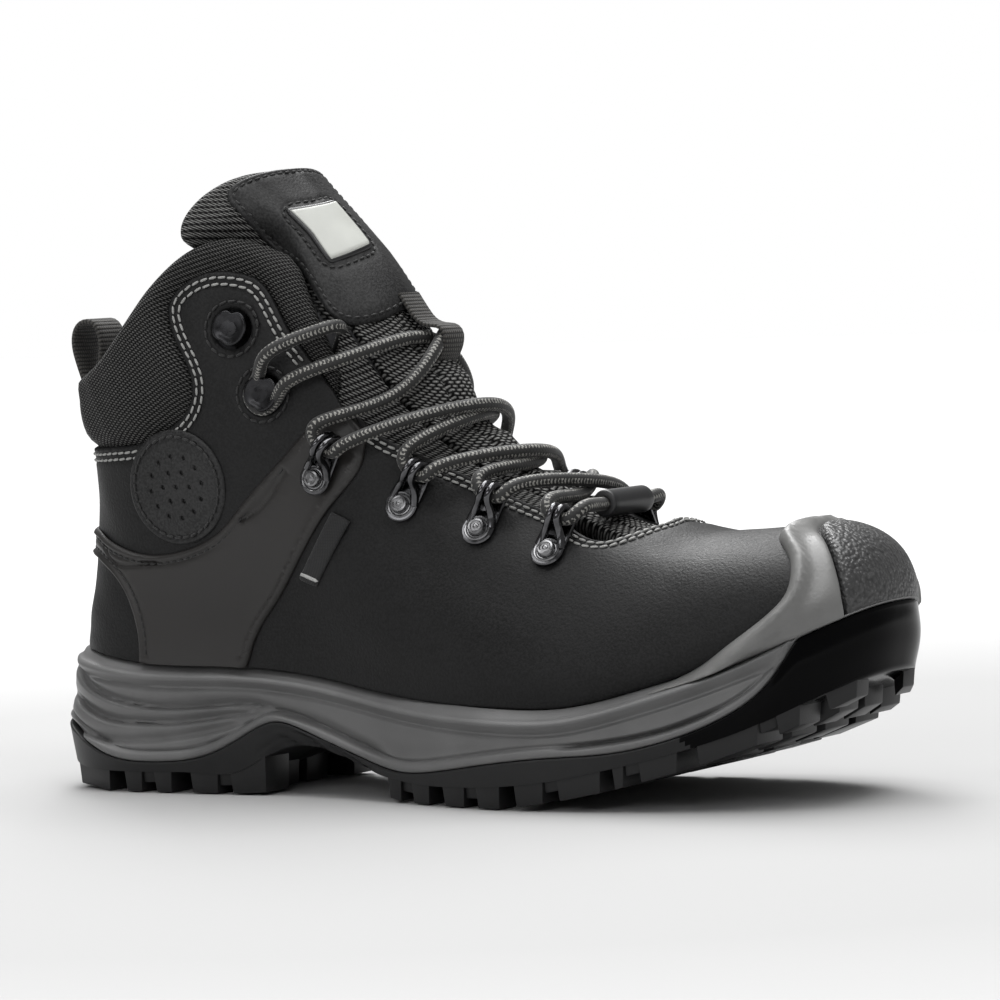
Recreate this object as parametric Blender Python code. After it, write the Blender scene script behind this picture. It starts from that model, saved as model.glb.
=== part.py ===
"""Steel toe work boot, right foot, EU size 43, laced, built as its separate pieces.

The boot stands on z = 0 with its toe towards +X and its outer (lateral) side towards -Y.
Sizes below are in millimetres, measured from the back of the heel; MM turns them into
metres and the boot's middle is moved to the origin.
"""
import math

import bmesh
import bpy
import numpy as np
from mathutils import Vector
from mathutils.geometry import delaunay_2d_cdt

MM = 0.001
CENTRE_X = 155.0
CENTRE_Y = 0.45
GAP = 0.3

# layers of the upper, outwards from its visible leather face
LEATHER = (-1.8, 0.0)
STIFFENER = (-4.6, -2.6)
LINING = (-6.9, -5.5)
OVERLAY = (0.7, 1.7)
PAD = (-4.6, 0.9)
TONGUE = (-8.8, -2.6)

# sole
LENGTH = 306.0
SOLE_BACK = 4.0
LUG_HEIGHT = 6.5
RECESS_INSET = 8.0
RECESS_DEPTH = 10.3

# upper
TOE_TIP = 301.5
TOE_REACH = 100.0
HEEL_REACH = 36.0
TONGUE_RING = 1.3

LATERAL = -1
MEDIAL = 1


# ---------------------------------------------------------------- curves

def curve(xs, ys):
    """A smooth function through the points (natural cubic spline, flat outside)."""
    xs, ys = np.array(xs, float), np.array(ys, float)
    n, h = len(xs), np.diff(xs)
    matrix, right = np.eye(n), np.zeros(n)
    for i in range(1, n - 1):
        matrix[i, i - 1:i + 2] = h[i - 1], 2 * (h[i - 1] + h[i]), h[i]
        right[i] = 6 * ((ys[i + 1] - ys[i]) / h[i] - (ys[i] - ys[i - 1]) / h[i - 1])
    bend = np.linalg.solve(matrix, right)

    def value(x):
        x = min(max(x, xs[0]), xs[-1])
        i = min(max(int(np.searchsorted(xs, x)) - 1, 0), n - 2)
        a, b = xs[i + 1] - x, x - xs[i]
        straight = (ys[i] / h[i] - bend[i] * h[i] / 6) * a + (ys[i + 1] / h[i] - bend[i + 1] * h[i] / 6) * b
        return float((bend[i] * a ** 3 + bend[i + 1] * b ** 3) / (6 * h[i]) + straight)
    return value


def smooth_step(x, low, high):
    t = min(max((x - low) / (high - low), 0), 1)
    return t * t * (3 - 2 * t)


def mix(a, b, t):
    return a + (b - a) * t


def spline_points(points, count, closed=False):
    """Points along a smooth line through the given ones."""
    points = [Vector(p) for p in points]
    if closed:
        points = points[-2:] + points + points[:3]
    steps = [0.0]
    for p, q in zip(points, points[1:]):
        steps.append(steps[-1] + max((q - p).length, 1e-6) ** 0.5)
    axes = [curve(steps, [p[i] for p in points]) for i in range(len(points[0]))]
    first, last = (steps[2], steps[-3]) if closed else (steps[0], steps[-1])
    size = count if closed else count - 1
    return [Vector([axis(first + (last - first) * i / size) for axis in axes]) for i in range(count)]


# ---------------------------------------------------------------- shape of the sole and the upper

sole_lateral = curve([0, 30, 80, 112, 150, 190, 225, 260, 306], [38, 38, 37, 36, 43, 53, 54, 51, 48])
sole_medial = curve([0, 30, 80, 112, 150, 190, 225, 260, 306], [37, 37, 35, 33, 38, 46, 50, 49, 46])
upper_lateral = curve([0, 40, 80, 115, 150, 190, 225, 260, 303], [37.5, 38, 38.5, 37.5, 42, 49, 50.5, 48, 45])
upper_medial = curve([0, 40, 80, 115, 150, 190, 225, 260, 303], [37, 37.5, 38, 36, 38, 43, 46.5, 46, 43])
feather = curve([4, 25, 50, 80, 110, 150, 195, 215, 240, 270, 306], [44.5, 42.5, 39.5, 39, 37, 31, 28, 28.5, 34, 44, 62])
sole_split = curve([0, 20, 35, 55, 76, 89, 100, 112, 137, 150, 171, 199, 215, 249, 264, 279, 291, 306],
                   [24, 19, 12, 10, 13, 19, 24, 21, 13, 10, 11, 15.5, 18, 22, 27, 34, 42, 52])
tread_tips = curve([0, 8, 20, 32, 50, 70, 90, 98, 110, 130, 146, 158, 172, 187, 205, 225, 249, 274, 306],
                   [8, 3, 0.6, -0.6, -0.6, -0.6, -0.6, 1.5, 6, 6, 1.2, -0.4, -0.6, -0.6, 1.5, 5, 11, 19, 37])
tread_base = curve([0, 14, 30, 50, 70, 86, 100, 118, 135, 150, 187, 205, 225, 249, 274, 306],
                   [14, 8.5, 6.7, 6.5, 6.5, 7.2, 14, 15, 10, 7, 6.5, 8, 11.5, 17, 25, 41])
top_line = curve([40, 70, 95, 108, 121, 135, 143, 152, 165, 180, 198, 222, 244, 266, 285, 306],
                 [262, 234, 203, 190, 177, 160, 147, 133, 117.5, 106, 97, 88.5, 82.5, 84, 88.5, 93])
dome = curve([40, 80, 102, 125, 150, 178, 200, 244, 285, 306], [4.5, 4.5, 3.4, 2.2, 1.75, 1.75, 1.8, 2.2, 2.5, 2.5])
heel_back = curve([20, 45, 60, 76, 92, 106, 120, 134, 150, 200], [11, 13, 15, 18.5, 20.5, 20.5, 19, 18.5, 18.5, 18.5])
heel_width = curve([35, 45, 60, 80, 100, 125, 150, 200], [.88, .90, .90, .92, .97, 1.0, 1.01, 1.0])
collar_line = curve([14, 27, 41, 53, 66, 80, 92, 104, 121], [134, 135, 141, 153.5, 166.5, 175, 178.5, 179, 178])


def mid_line(x):
    """The toe of a right boot swings towards the inner side."""
    return 6 * smooth_step(x, 160, 300)


def half_width(x, z, side):
    """Half the width of the upper's outer face, measured from its mid line."""
    width = upper_lateral(x) if side < 0 else upper_medial(x)
    rise = (z - feather(x)) / (top_line(x) - feather(x))
    round_power = dome(x)
    toe = max(0.0, (x - TOE_TIP + TOE_REACH) / TOE_REACH)
    inside = 1 - max(rise, 0) ** round_power - toe ** 5
    if inside <= 0:
        return 0.0
    fore = smooth_step(x, 100, 150)
    width *= mix(heel_width(z), 0.94 + 0.06 * smooth_step(rise, 0, 0.2), fore)
    back = min(max(0.0, (heel_back(z) + HEEL_REACH - x) / HEEL_REACH), 1)
    return width * inside ** (1 / min(round_power, 2.2)) * (1 - back ** 2.3) ** (1 / 2.3)


def ridge(x):
    """Height of the upper's highest line, over the toe and up the instep."""
    toe = max(0.0, (x - TOE_TIP + TOE_REACH) / TOE_REACH)
    return mix(feather(x), top_line(x), max(0.0, 1 - toe ** 5) ** (1 / dome(x)))


instep_front = curve([.2, .35, .5, .65, .8, .92, 1, 1.3], [291, 266, 234, 196, 158, 134, 121, 95])
ring_back = curve([0, .2, .35, .5, .65, .8, 1, 1.3], [45.7, 56, 65, 77, 92, 109, 134, 172])
ring_power = curve([0, .1, .25, .5, .7, .85, 1.3], [1, 1.8, 2.2, 1.8, 1.2, 1, 1])


def ring_front(k):
    """Where ring k crosses the front of the boot."""
    return TOE_TIP - 20 * (3.865 * max(k, 0)) ** 2.5 if k < 0.2 else instep_front(k)


def ring_height(share, k):
    """Height of ring k at a share of its length, 0 at the heel and 1 at the front."""
    front = ring_front(k)
    back = heel_back(ring_back(k))
    x = mix(back, front, share)
    low, high = ring_back(k), ridge(front) if k > 0 else feather(front)
    plain = mix(low, high, share ** ring_power(k))
    sag = feather(x) - mix(feather(back), feather(front), share)
    collar = collar_line(x) - mix(collar_line(back), collar_line(front), share)
    return x, plain + sag * max(0.0, 1 - k) ** 1.5 + collar * min(k, 1.0) ** 6


def on_ring(turn, k):
    """Point of the upper's outer face: turn 0 is the heel, 0.5 the front, past it the inner side."""
    turn = turn % 1.0
    side = LATERAL if turn <= 0.5 else MEDIAL
    x, z = ring_height((1 - math.cos(2 * math.pi * turn)) / 2, k)
    z = min(z, ridge(x)) if x > 90 else z
    return Vector((x, mid_line(x) + side * half_width(x, z, side), z))


def outward(turn, k):
    """Unit normal of the upper's outer face."""
    step = 0.004
    along = on_ring(turn + step, k) - on_ring(turn - step, k)
    up = on_ring(turn, k + step) - on_ring(turn, max(k - step, 0))
    return along.cross(up).normalized()


# ---------------------------------------------------------------- helpers

TURN_LENGTH = 560.0
RING_LENGTH = 125.0

for old in list(bpy.data.objects):
    bpy.data.objects.remove(old, do_unlink=True)

boot = bpy.data.collections.new("work_boot")
cutters = bpy.data.collections.new("cutters")
for group in (boot, cutters):
    bpy.context.scene.collection.children.link(group)

FINISHES = {
    "leather": ((0.020, 0.020, 0.021), 0.55, 0.0),
    "coated_leather": ((0.026, 0.023, 0.020), 0.48, 0.0),
    "textile": ((0.030, 0.030, 0.031), 0.85, 0.0),
    "lining": ((0.055, 0.055, 0.058), 0.9, 0.0),
    "midsole": ((0.055, 0.055, 0.055), 0.55, 0.0),
    "rubber": ((0.012, 0.012, 0.012), 0.4, 0.0),
    "guard": ((0.025, 0.025, 0.025), 0.6, 0.0),
    "steel": ((0.45, 0.46, 0.47), 0.35, 1.0),
    "hardware": ((0.06, 0.06, 0.065), 0.25, 1.0),
    "board": ((0.50, 0.47, 0.40), 0.9, 0.0),
    "foam": ((0.09, 0.09, 0.10), 0.95, 0.0),
    "label": ((0.62, 0.62, 0.58), 0.5, 0.0),
    "lace": ((0.035, 0.034, 0.032), 0.8, 0.0),
}


def finish_material(node, finish):
    colour, roughness, metallic = FINISHES[finish]
    material = bpy.data.materials.new(node)
    material.use_nodes = True
    shader = material.node_tree.nodes["Principled BSDF"]
    shader.inputs["Base Color"].default_value = (*colour, 1)
    shader.inputs["Roughness"].default_value = roughness
    shader.inputs["Metallic"].default_value = metallic
    return material


def world(point):
    """A design point in millimetres as a point in metres in the part's own frame."""
    return Vector(((point[0] - CENTRE_X) * MM, (point[1] - CENTRE_Y) * MM, point[2] * MM))


def add_object(name, points, faces, finish, where=None):
    mesh = bpy.data.meshes.new(name)
    mesh.from_pydata([world(p) for p in points], [], faces)
    mesh.validate()
    work = bmesh.new()
    work.from_mesh(mesh)
    bmesh.ops.recalc_face_normals(work, faces=work.faces)
    if work.calc_volume(signed=True) < 0:
        bmesh.ops.reverse_faces(work, faces=work.faces)
    work.to_mesh(mesh)
    work.free()
    thing = bpy.data.objects.new(name, mesh)
    mesh.materials.append(finish_material(name, finish))
    mesh.shade_smooth()
    mesh.set_sharp_from_angle(angle=math.radians(40))
    (where or boot).objects.link(thing)
    return thing


def to_ring(x, z, side):
    """Turn and ring of the surface point at x and z on one side."""
    low, high = 0.0, TONGUE_RING
    for _ in range(34):
        k = (low + high) / 2
        front, back = ring_front(k), heel_back(ring_back(k))
        if x > front:
            high = k
            continue
        share = min(max((x - back) / (front - back), 0), 1)
        if ring_height(share, k)[1] < z:
            low = k
        else:
            high = k
    turn = math.acos(1 - 2 * share) / (2 * math.pi)
    return (turn, k) if side < 0 else (1 - turn, k)


def trace(points, side, wrap=False):
    """Ring coordinates of x, z points; wrap keeps the inner side next to the heel's turn 0."""
    found = [to_ring(x, z, side) for x, z in points]
    return [(turn - 1, k) if wrap and turn > 0.5 else (turn, k) for turn, k in found]


def shifted(line, distance):
    """A line in ring coordinates moved sideways, to its left, by a distance in millimetres."""
    flat = [Vector((turn * TURN_LENGTH, k * RING_LENGTH)) for turn, k in line]
    moved = []
    for i, spot in enumerate(flat):
        ahead = (flat[min(i + 1, len(flat) - 1)] - flat[max(i - 1, 0)]).normalized()
        spot = spot + Vector((-ahead.y, ahead.x)) * distance
        moved.append((spot.x / TURN_LENGTH, spot.y / RING_LENGTH))
    return moved


def inside_loop(point, loop):
    inside = False
    for (ax, ay), (bx, by) in zip(loop, loop[1:] + loop[:1]):
        if (ay > point[1]) != (by > point[1]):
            if point[0] < ax + (bx - ax) * (point[1] - ay) / (by - ay):
                inside = not inside
    return inside


def distance_to_loop(point, loop):
    best = 1e9
    for a, b in zip(loop, loop[1:] + loop[:1]):
        ax, ay, bx, by = *a, *b
        long = (bx - ax) ** 2 + (by - ay) ** 2
        t = min(max(((point[0] - ax) * (bx - ax) + (point[1] - ay) * (by - ay)) / max(long, 1e-9), 0), 1)
        best = min(best, math.hypot(point[0] - ax - t * (bx - ax), point[1] - ay - t * (by - ay)))
    return best


def refined(loop, longest):
    """The loop with extra points, so that it follows the curved surface."""
    points = []
    for a, b in zip(loop, loop[1:] + loop[:1]):
        parts = max(math.ceil(math.dist(a, b) / longest), 1)
        points += [(mix(a[0], b[0], i / parts), mix(a[1], b[1], i / parts)) for i in range(parts)]
    return points


def patch(name, outline, layer, finish, spacing=12.0, holes=()):
    """A closed sheet of the upper inside an outline in ring coordinates, between two depths."""
    loops = [[(turn * TURN_LENGTH, k * RING_LENGTH) for turn, k in loop] for loop in (outline, *holes)]
    loops = [refined(loop, spacing) for loop in loops]
    flat, edges = [], []
    for loop in loops:
        start = len(flat)
        flat += loop
        edges += [(start + i, start + (i + 1) % len(loop)) for i in range(len(loop))]
    us, vs = [p[0] for p in loops[0]], [p[1] for p in loops[0]]
    for i in range(int(min(us) // spacing), int(max(us) // spacing) + 1):
        for j in range(int(min(vs) // spacing), int(max(vs) // spacing) + 1):
            spot = ((i + 0.5) * spacing, (j + 0.5) * spacing)
            if inside_loop(spot, loops[0]) and not any(inside_loop(spot, hole) for hole in loops[1:]):
                if min(distance_to_loop(spot, loop) for loop in loops) > 0.45 * spacing:
                    flat.append(spot)
    corners, _, faces, *_ = delaunay_2d_cdt([Vector(p) for p in flat], edges, [], 1, 1e-4)
    kept = []
    for face in faces:
        middle = sum((corners[i] for i in face), Vector((0, 0))) / 3
        if not any(inside_loop(middle, hole) for hole in loops[1:]):
            kept.append(list(face))
    ring_spots = [(c[0] / TURN_LENGTH, c[1] / RING_LENGTH) for c in corners]
    bottom, top = [], []
    for turn, k in ring_spots:
        low, high = layer(turn, k) if callable(layer) else layer
        spot, normal = on_ring(turn, k), outward(turn, k)
        bottom.append(spot + normal * low)
        top.append(spot + normal * high)
    count = len(corners)
    sides = {}
    for face in kept:
        for a, b in zip(face, face[1:] + face[:1]):
            sides[(a, b)] = True
    rims = [[a, b, b + count, a + count] for a, b in sides if (b, a) not in sides]
    shell = [[i + count for i in face] for face in kept] + [face[::-1] for face in kept] + rims
    return add_object(name, bottom + top, shell, finish)


def level(k, first, last, count):
    """Evenly spread ring points along one ring."""
    return [(mix(first, last, i / (count - 1)), k) for i in range(count)]


def side_circle(x, z, radius, side, count=16):
    """A round outline on one side of the upper."""
    around = [2 * math.pi * i / count for i in range(count)]
    return trace([(x + radius * math.cos(a), z + radius * math.sin(a)) for a in around], side)


def above(height, rise):
    return lambda x: height(x) + rise


def stack(name, rings, finish):
    """A closed body through matching rings, with flat strips across the first and the last."""
    count = len(rings[0])
    points = [p for ring in rings for p in ring]
    faces = []
    for level_index in range(len(rings) - 1):
        base = level_index * count
        for i in range(count):
            j = (i + 1) % count
            faces.append([base + i, base + j, base + j + count, base + i + count])
    for base in (0, (len(rings) - 1) * count):
        for i in range(count // 2):
            a, b = base + i, base + i + 1
            c, d = base + (count - i - 1) % count, base + (count - i) % count
            faces.append([a, b, c, d] if i not in (0, count // 2 - 1) else
                         ([a, b, c] if i == 0 else [a, b, d]))
    return add_object(name, points, faces, finish)


def sole_half_width(x, inset, side):
    width = (sole_lateral if side < 0 else sole_medial)(x) - inset
    heel = min(max(0.0, (SOLE_BACK + inset + 36 - x) / 36), 1)
    toe = min(max(0.0, (x - LENGTH + inset + 66) / 66), 1)
    return width * (1 - heel ** 2.3) ** (1 / 2.3) * (1 - toe ** 2.4) ** (1 / 2.4)


def sole_ring(height, inset, count=52):
    """A ring round the sole at a height that is a function of x, stepped in by inset."""
    ring = []
    for i in range(count):
        turn = 2 * math.pi * i / count
        side = LATERAL if i <= count // 2 else MEDIAL
        x = mix(SOLE_BACK + inset, LENGTH - inset, (1 - math.cos(turn)) / 2)
        ring.append((x, mid_line(x) + side * sole_half_width(x, inset, side), height(x)))
    return ring


def board(name, bottom, top, finish, count=48):
    """A thin plate that fills the midsole's recess."""
    edge = RECESS_INSET + 0.6
    stack(name, [sole_ring(above(feather, height), edge, count) for height in (bottom, top)], finish)


def inner_plate(name, back, front, inset, bottom, top, finish, count=48):
    """A thin plate inside the boot that follows the last's bottom edge."""
    rings = []
    for height in (bottom, top):
        ring = []
        for i in range(count):
            turn = 2 * math.pi * i / count
            side = LATERAL if i <= count // 2 else MEDIAL
            x = mix(back, front, (1 - math.cos(turn)) / 2)
            ends = min(max(0, (back + 30 - x) / 30), 1), min(max(0, (x - front + 60) / 60), 1)
            width = half_width(min(x, 240), feather(min(x, 240)) + 1, side) - inset
            width *= (1 - ends[0] ** 2.3) ** (1 / 2.3) * (1 - ends[1] ** 2.4) ** (1 / 2.4)
            ring.append((x, mid_line(x) + side * width, feather(x) + height))
        rings.append(ring)
    return stack(name, rings, finish)


def tube(name, points, radius, finish, resolution=2, where=None):
    """A round cord or wire through points."""
    line = bpy.data.curves.new(name, "CURVE")
    line.dimensions = "3D"
    line.bevel_depth = radius * MM
    line.bevel_resolution = resolution
    line.use_fill_caps = True
    run = line.splines.new("POLY")
    run.points.add(len(points) - 1)
    for spot, p in zip(run.points, points):
        spot.co = (*world(p), 1)
    thing = bpy.data.objects.new(name, line)
    line.materials.append(finish_material(name, finish))
    (where or boot).objects.link(thing)
    return thing


def as_mesh(thing):
    """The curve object as a welded mesh object of the same name."""
    bpy.context.view_layer.update()
    evaluated = thing.evaluated_get(bpy.context.evaluated_depsgraph_get())
    mesh = bpy.data.meshes.new_from_object(evaluated)
    name, group = thing.name, thing.users_collection[0]
    bpy.data.objects.remove(thing, do_unlink=True)
    work = bmesh.new()
    work.from_mesh(mesh)
    bmesh.ops.remove_doubles(work, verts=work.verts, dist=1e-7)
    bmesh.ops.recalc_face_normals(work, faces=work.faces)
    work.to_mesh(mesh)
    work.free()
    solid = bpy.data.objects.new(name, mesh)
    group.objects.link(solid)
    return solid


def cutter(thing):
    for group in list(thing.users_collection):
        group.objects.unlink(thing)
    cutters.objects.link(thing)
    thing.hide_render = True
    thing.display_type = "WIRE"
    return thing


def combine(target, tool, operation):
    change = target.modifiers.new(operation.lower(), "BOOLEAN")
    change.operation = operation
    change.solver = "EXACT"
    change.object = cutter(tool)


def smooth_path(points, count):
    return [(p.x, p.z) for p in spline_points([(x, 0, z) for x, z in points], count)]


def strip(name, path, width, thickness, centre_y, finish):
    """A webbing strip of a width across Y along a path in the XZ plane."""
    path = [Vector((x, 0, z)) for x, z in path]
    outer, inner = [], []
    for i, spot in enumerate(path):
        ahead = path[min(i + 1, len(path) - 1)] - path[max(i - 1, 0)]
        normal = Vector((-ahead.z, 0, ahead.x)).normalized() * thickness / 2
        outer.append(spot + normal)
        inner.append(spot - normal)
    loop = outer + inner[::-1]
    count = len(loop)
    left = [(p.x, centre_y - width / 2, p.z) for p in loop]
    right = [(p.x, centre_y + width / 2, p.z) for p in loop]
    half = len(path)
    faces = [[i, (i + 1) % count, (i + 1) % count + count, i + count] for i in range(count)]
    for shift in (0, count):
        faces += [[shift + i, shift + i + 1, shift + count - 2 - i, shift + count - 1 - i] for i in range(half - 1)]
    return add_object(name, left + right, faces, finish)


# ---------------------------------------------------------------- sole

def tread_block(x0, x1, inner, outer, side):
    """One tread lug between two stations, from inner to outer shares of the half width."""
    corners = []
    for lift in (tread_tips, above(tread_base, 2.0)):
        shrink = 0.8 if lift is tread_tips else 0.0
        for x in (x0 + shrink, x1 - shrink):
            for share in (inner, outer):
                width = sole_half_width(x, 3.2, side) * share
                corners.append((x, mid_line(x) + side * width, max(lift(x), 0.0)))
    faces = [[0, 1, 3, 2], [4, 6, 7, 5], [0, 4, 5, 1], [2, 3, 7, 6], [0, 2, 6, 4], [1, 5, 7, 3]]
    return corners, faces


def make_outsole():
    rings = [sole_ring(tread_base, 7), sole_ring(above(tread_base, 1.5), 2.6),
             sole_ring(lambda x: mix(tread_base(x), sole_split(x), 0.6) + 0.4, 1.6),
             sole_ring(above(sole_split, -1.6), 0.6), sole_ring(above(sole_split, -0.15), 1.4)]
    outsole = stack("outsole", rings, "rubber")
    rows = [(15, 27), (33, 46), (52, 65), (71, 86), (150, 163), (169, 181), (187, 199), (205, 217),
            (223, 235), (241, 253), (259, 271), (277, 288)]
    points, faces = [], []
    for index, (x0, x1) in enumerate(rows):
        for side in (LATERAL, MEDIAL):
            for inner, outer in ((0.66, 1.0), (0.10, 0.52)):
                offset = 0 if outer == 1.0 else (3 if index % 2 else -2)
                block, sides = tread_block(x0 + offset, x1 + offset, inner, outer, side)
                faces += [[i + len(points) for i in face] for face in sides]
                points += block
    combine(outsole, add_object("tread_blocks", points, faces, "rubber", cutters), "UNION")


def make_midsole():
    def between(share):
        return lambda x: mix(sole_split(x) + 0.15, feather(x) - 0.3, share)
    rings = [sole_ring(between(0), 2.4), sole_ring(between(0.04), 1.0), sole_ring(between(0.3), 1.6),
             sole_ring(between(0.55), 2.4), sole_ring(between(0.8), 1.4), sole_ring(between(0.97), 1.2),
             sole_ring(between(1), 2.2), sole_ring(between(1), RECESS_INSET)]
    rings.append(sole_ring(lambda x: max(feather(x) - RECESS_DEPTH, sole_split(x) + 1.0), RECESS_INSET))
    stack("midsole", rings, "midsole")


make_outsole()
make_midsole()
inner_plate("shank", 70, 172, 24, -9.9, -8.1, "steel", 24)
board("puncture_plate", -7.7, -6.4, "steel")
board("insole_board", -6.1, -4.1, "board")
inner_plate("footbed", 24, 287, 8.0, -3.8, 1.4, "foam")


# ---------------------------------------------------------------- upper

FOOT_RING = 0.014
EYESTAY = [(236, 80.5), (227, 77), (215, 80), (202, 87), (180, 96), (163, 103.5), (150, 109.5), (140, 115), (132, 122)]
VAMP_REAR = [(133, 119), (127, 108), (119, 92), (108, 74), (98, 60), (88, 47)]
QUARTER_REAR_LOW = [(52, 50), (52, 60), (46, 71), (32, 79)]
LEATHER_TOP = [(42, 112), (55, 113), (67, 118), (75, 125), (76, 135), (70.5, 146), (68, 156), (73, 163.5),
               (83, 167.5), (94, 166.5), (102, 161), (109, 149), (116, 140), (125, 129)]
RIM_FRONT = [(130, 128.5), (124.4, 136), (118.5, 146.5), (112.5, 157), (107, 167)]
BAND_TOP = [(32, 84), (45, 79), (57, 77), (71, 79), (82, 83.5), (94, 94), (107, 106), (118, 117), (125, 122),
            (131, 122), (137, 114)]
BAND_FRONT = [(136, 104), (126, 92), (113, 75), (103, 61), (95, 50)]
BAND_REAR = [(49, 52), (46, 62), (40, 70), (31, 75)]
HOOK_SPOTS = [(91, 149), (102, 128)]
WINDOW_RADIUS = 6.5
DISC_SPOT = (69, 99)
DISC_RADIUS = 18.5


def grown(points, dx, dz):
    return [(x + dx, z + dz) for x, z in points]


def foot_edge(x0, x1, side, k=FOOT_RING, step=12.0):
    """Points of the lowest ring between two stations."""
    ends = [to_ring(x, feather(x) + 1.2, side)[0] for x in (x0, x1)]
    count = max(int(abs(x1 - x0) / step), 2)
    return level(k, ends[0], ends[1], count)


def make_vamp():
    rear = trace(VAMP_REAR, LATERAL)
    throat = trace(EYESTAY, LATERAL)[::-1]
    foot = level(FOOT_RING, 0.5 - 0.012, to_ring(84, feather(84) + 1.2, LATERAL)[0], 30)
    half = foot + rear[::-1] + throat + [(0.490, 0.500), (0.4985, 0.497)]
    mirrored = [(1 - turn, k) for turn, k in half[::-1]]
    patch("vamp", half + mirrored, LEATHER, "leather", 9)


def make_quarters():
    for side, name in ((LATERAL, "lateral"), (MEDIAL, "medial")):
        rear_low = trace(grown(QUARTER_REAR_LOW, 0.6, 0.6), side)
        foot = foot_edge(54, 83, side)
        front = trace(grown(VAMP_REAR[::-1], -1.3, 0), side)
        top = trace(LEATHER_TOP[::-1], side)
        near_back = 0.006 if side < 0 else 1 - 0.006
        back = [(near_back, to_ring(24, 111.5, side)[1]), (near_back, to_ring(24, 80.5, side)[1])]
        outline = back + rear_low[::-1] + foot + front + top
        holes = [side_circle(x, z, WINDOW_RADIUS, side) for x, z in HOOK_SPOTS]
        patch("quarter_" + name, outline, LEATHER, "leather", holes=holes)
        disc = side_circle(*DISC_SPOT, DISC_RADIUS, side, 28)
        patch("ankle_disc_" + name, disc, OVERLAY, "leather")
        pads = [side_circle(x, z, WINDOW_RADIUS + 3.4, side) for x, z in HOOK_SPOTS]
        foam = [(36, 86), (62, 84), (92, 92), (112, 112), (120, 124), (112, 136), (104, 150), (98, 160), (84, 165),
                (74, 161), (72, 152), (80, 137), (79, 122), (68, 112), (52, 107), (36, 106)]
        patch("ankle_foam_" + name, trace(foam, side), STIFFENER, "foam", holes=pads)


def make_heel_pieces():
    top = trace(BAND_TOP, LATERAL)
    front = trace(BAND_FRONT, LATERAL)
    foot = foot_edge(90, 49.5, LATERAL)
    rear = trace(BAND_REAR, LATERAL)
    upper_mid = [(0.0, to_ring(24, 86, LATERAL)[1])]
    lower_mid = [(0.0, to_ring(24, 77, LATERAL)[1])]
    half = upper_mid + top + front + foot + rear + lower_mid
    mirrored = [(-turn, k) for turn, k in half[1:-1][::-1]]
    patch("heel_band", half + mirrored, OVERLAY, "coated_leather")

    edge = trace([(50.5, 50), (50.5, 60), (45, 70), (33, 77)], LATERAL)
    half = foot_edge(16, 50, LATERAL)[1:] + edge
    outline = half + [(0.0, edge[-1][1])] + [(-turn, k) for turn, k in half[::-1]] + [(0.0, FOOT_RING)]
    patch("heel_leather", outline, LEATHER, "leather")

    edge = trace([(72, 52), (66, 66), (52, 76), (36, 79)], LATERAL)
    half = foot_edge(16, 74, LATERAL)[1:] + edge
    outline = half + [(0.0, edge[-1][1])] + [(-turn, k) for turn, k in half[::-1]] + [(0.0, FOOT_RING)]
    patch("heel_counter", outline, STIFFENER, "board")


def make_collar():
    inner = shifted(trace(LEATHER_TOP, LATERAL), 1.0)
    front = trace(RIM_FRONT, LATERAL)
    top = level(0.995, front[-1][0] - 0.012, 0.004, 22)
    half = [(0.0, to_ring(24, 112.8, LATERAL)[1])] + inner + front + top
    outline = half + [(0.0, 0.995)] + [(-turn, k) for turn, k in half[1:][::-1]]
    patch("collar_pad", outline, PAD, "textile")


def make_linings():
    eyestay = trace(grown([(160, 100), (150, 105), (140, 110), (131, 118), (124, 126), (117, 138), (110, 149),
                           (104, 160), (100, 167)], -3.5, -2), LATERAL)
    front = trace([(158, 60), (158, 78)], LATERAL)
    half = level(0.05, 0.0, to_ring(158, feather(158) + 5, LATERAL)[0], 20) + front + eyestay
    half += level(0.955, eyestay[-1][0] - 0.01, 0.0, 18)
    outline = half[1:-1] + [half[-1]] + [(-turn, k) for turn, k in half[1:-1][::-1]] + [half[0]]
    patch("quarter_lining", outline, LINING, "lining")

    rear = trace([(160, 60), (160, 78), (160, 92)], LATERAL)
    throat = trace(grown(EYESTAY[:5], 0, -3.5), LATERAL)[::-1]
    foot = level(0.05, 0.5 - 0.012, to_ring(160, feather(160) + 5, LATERAL)[0], 20)
    half = foot + rear + throat + [(0.488, throat[-1][1] - 0.03)]
    mirrored = [(1 - turn, k) for turn, k in half[::-1]]
    patch("vamp_lining", half + mirrored, LINING, "lining")


def make_toe():
    cap_rear = trace([(250, 49), (250, 56), (252, 68), (254, 76)], LATERAL)
    foot = level(0.07, 0.5 - 0.012, to_ring(250, feather(250) + 7, LATERAL)[0], 14)
    half = foot + cap_rear + [(0.485, cap_rear[-1][1] + 0.01)]
    patch("steel_toecap", half + [(1 - t, k) for t, k in half[::-1]], (-5.0, -3.2), "steel", 8)

    rear = [(0.395, 0.016), (0.418, 0.03), (0.4315, 0.08), (0.4435, 0.205), (0.4554, 0.265), (0.472, 0.310),
            (0.488, 0.325), (0.5, 0.325)]
    front = [(0.5, 0.268), (0.487, 0.262), (0.476, 0.235), (0.466, 0.187), (0.459, 0.12), (0.4565, 0.05),
             (0.455, 0.016)]
    medial_rear = [(1 - turn, k) for turn, k in rear[:-1][::-1]]
    outline = rear + medial_rear + [(1 - turn, k) for turn, k in front[::-1]][:-1] + front
    patch("toe_wrap", outline, (0.7, 2.9), "midsole", 5)

    edge = [(0.4625, 0.016), (0.4635, 0.05), (0.466, 0.12), (0.473, 0.183), (0.482, 0.222), (0.49, 0.245), (0.5, 0.252)]
    patch("toe_guard", edge + [(1 - turn, k) for turn, k in edge[:-1][::-1]], (0.7, 3.2), "guard", 5)


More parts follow.
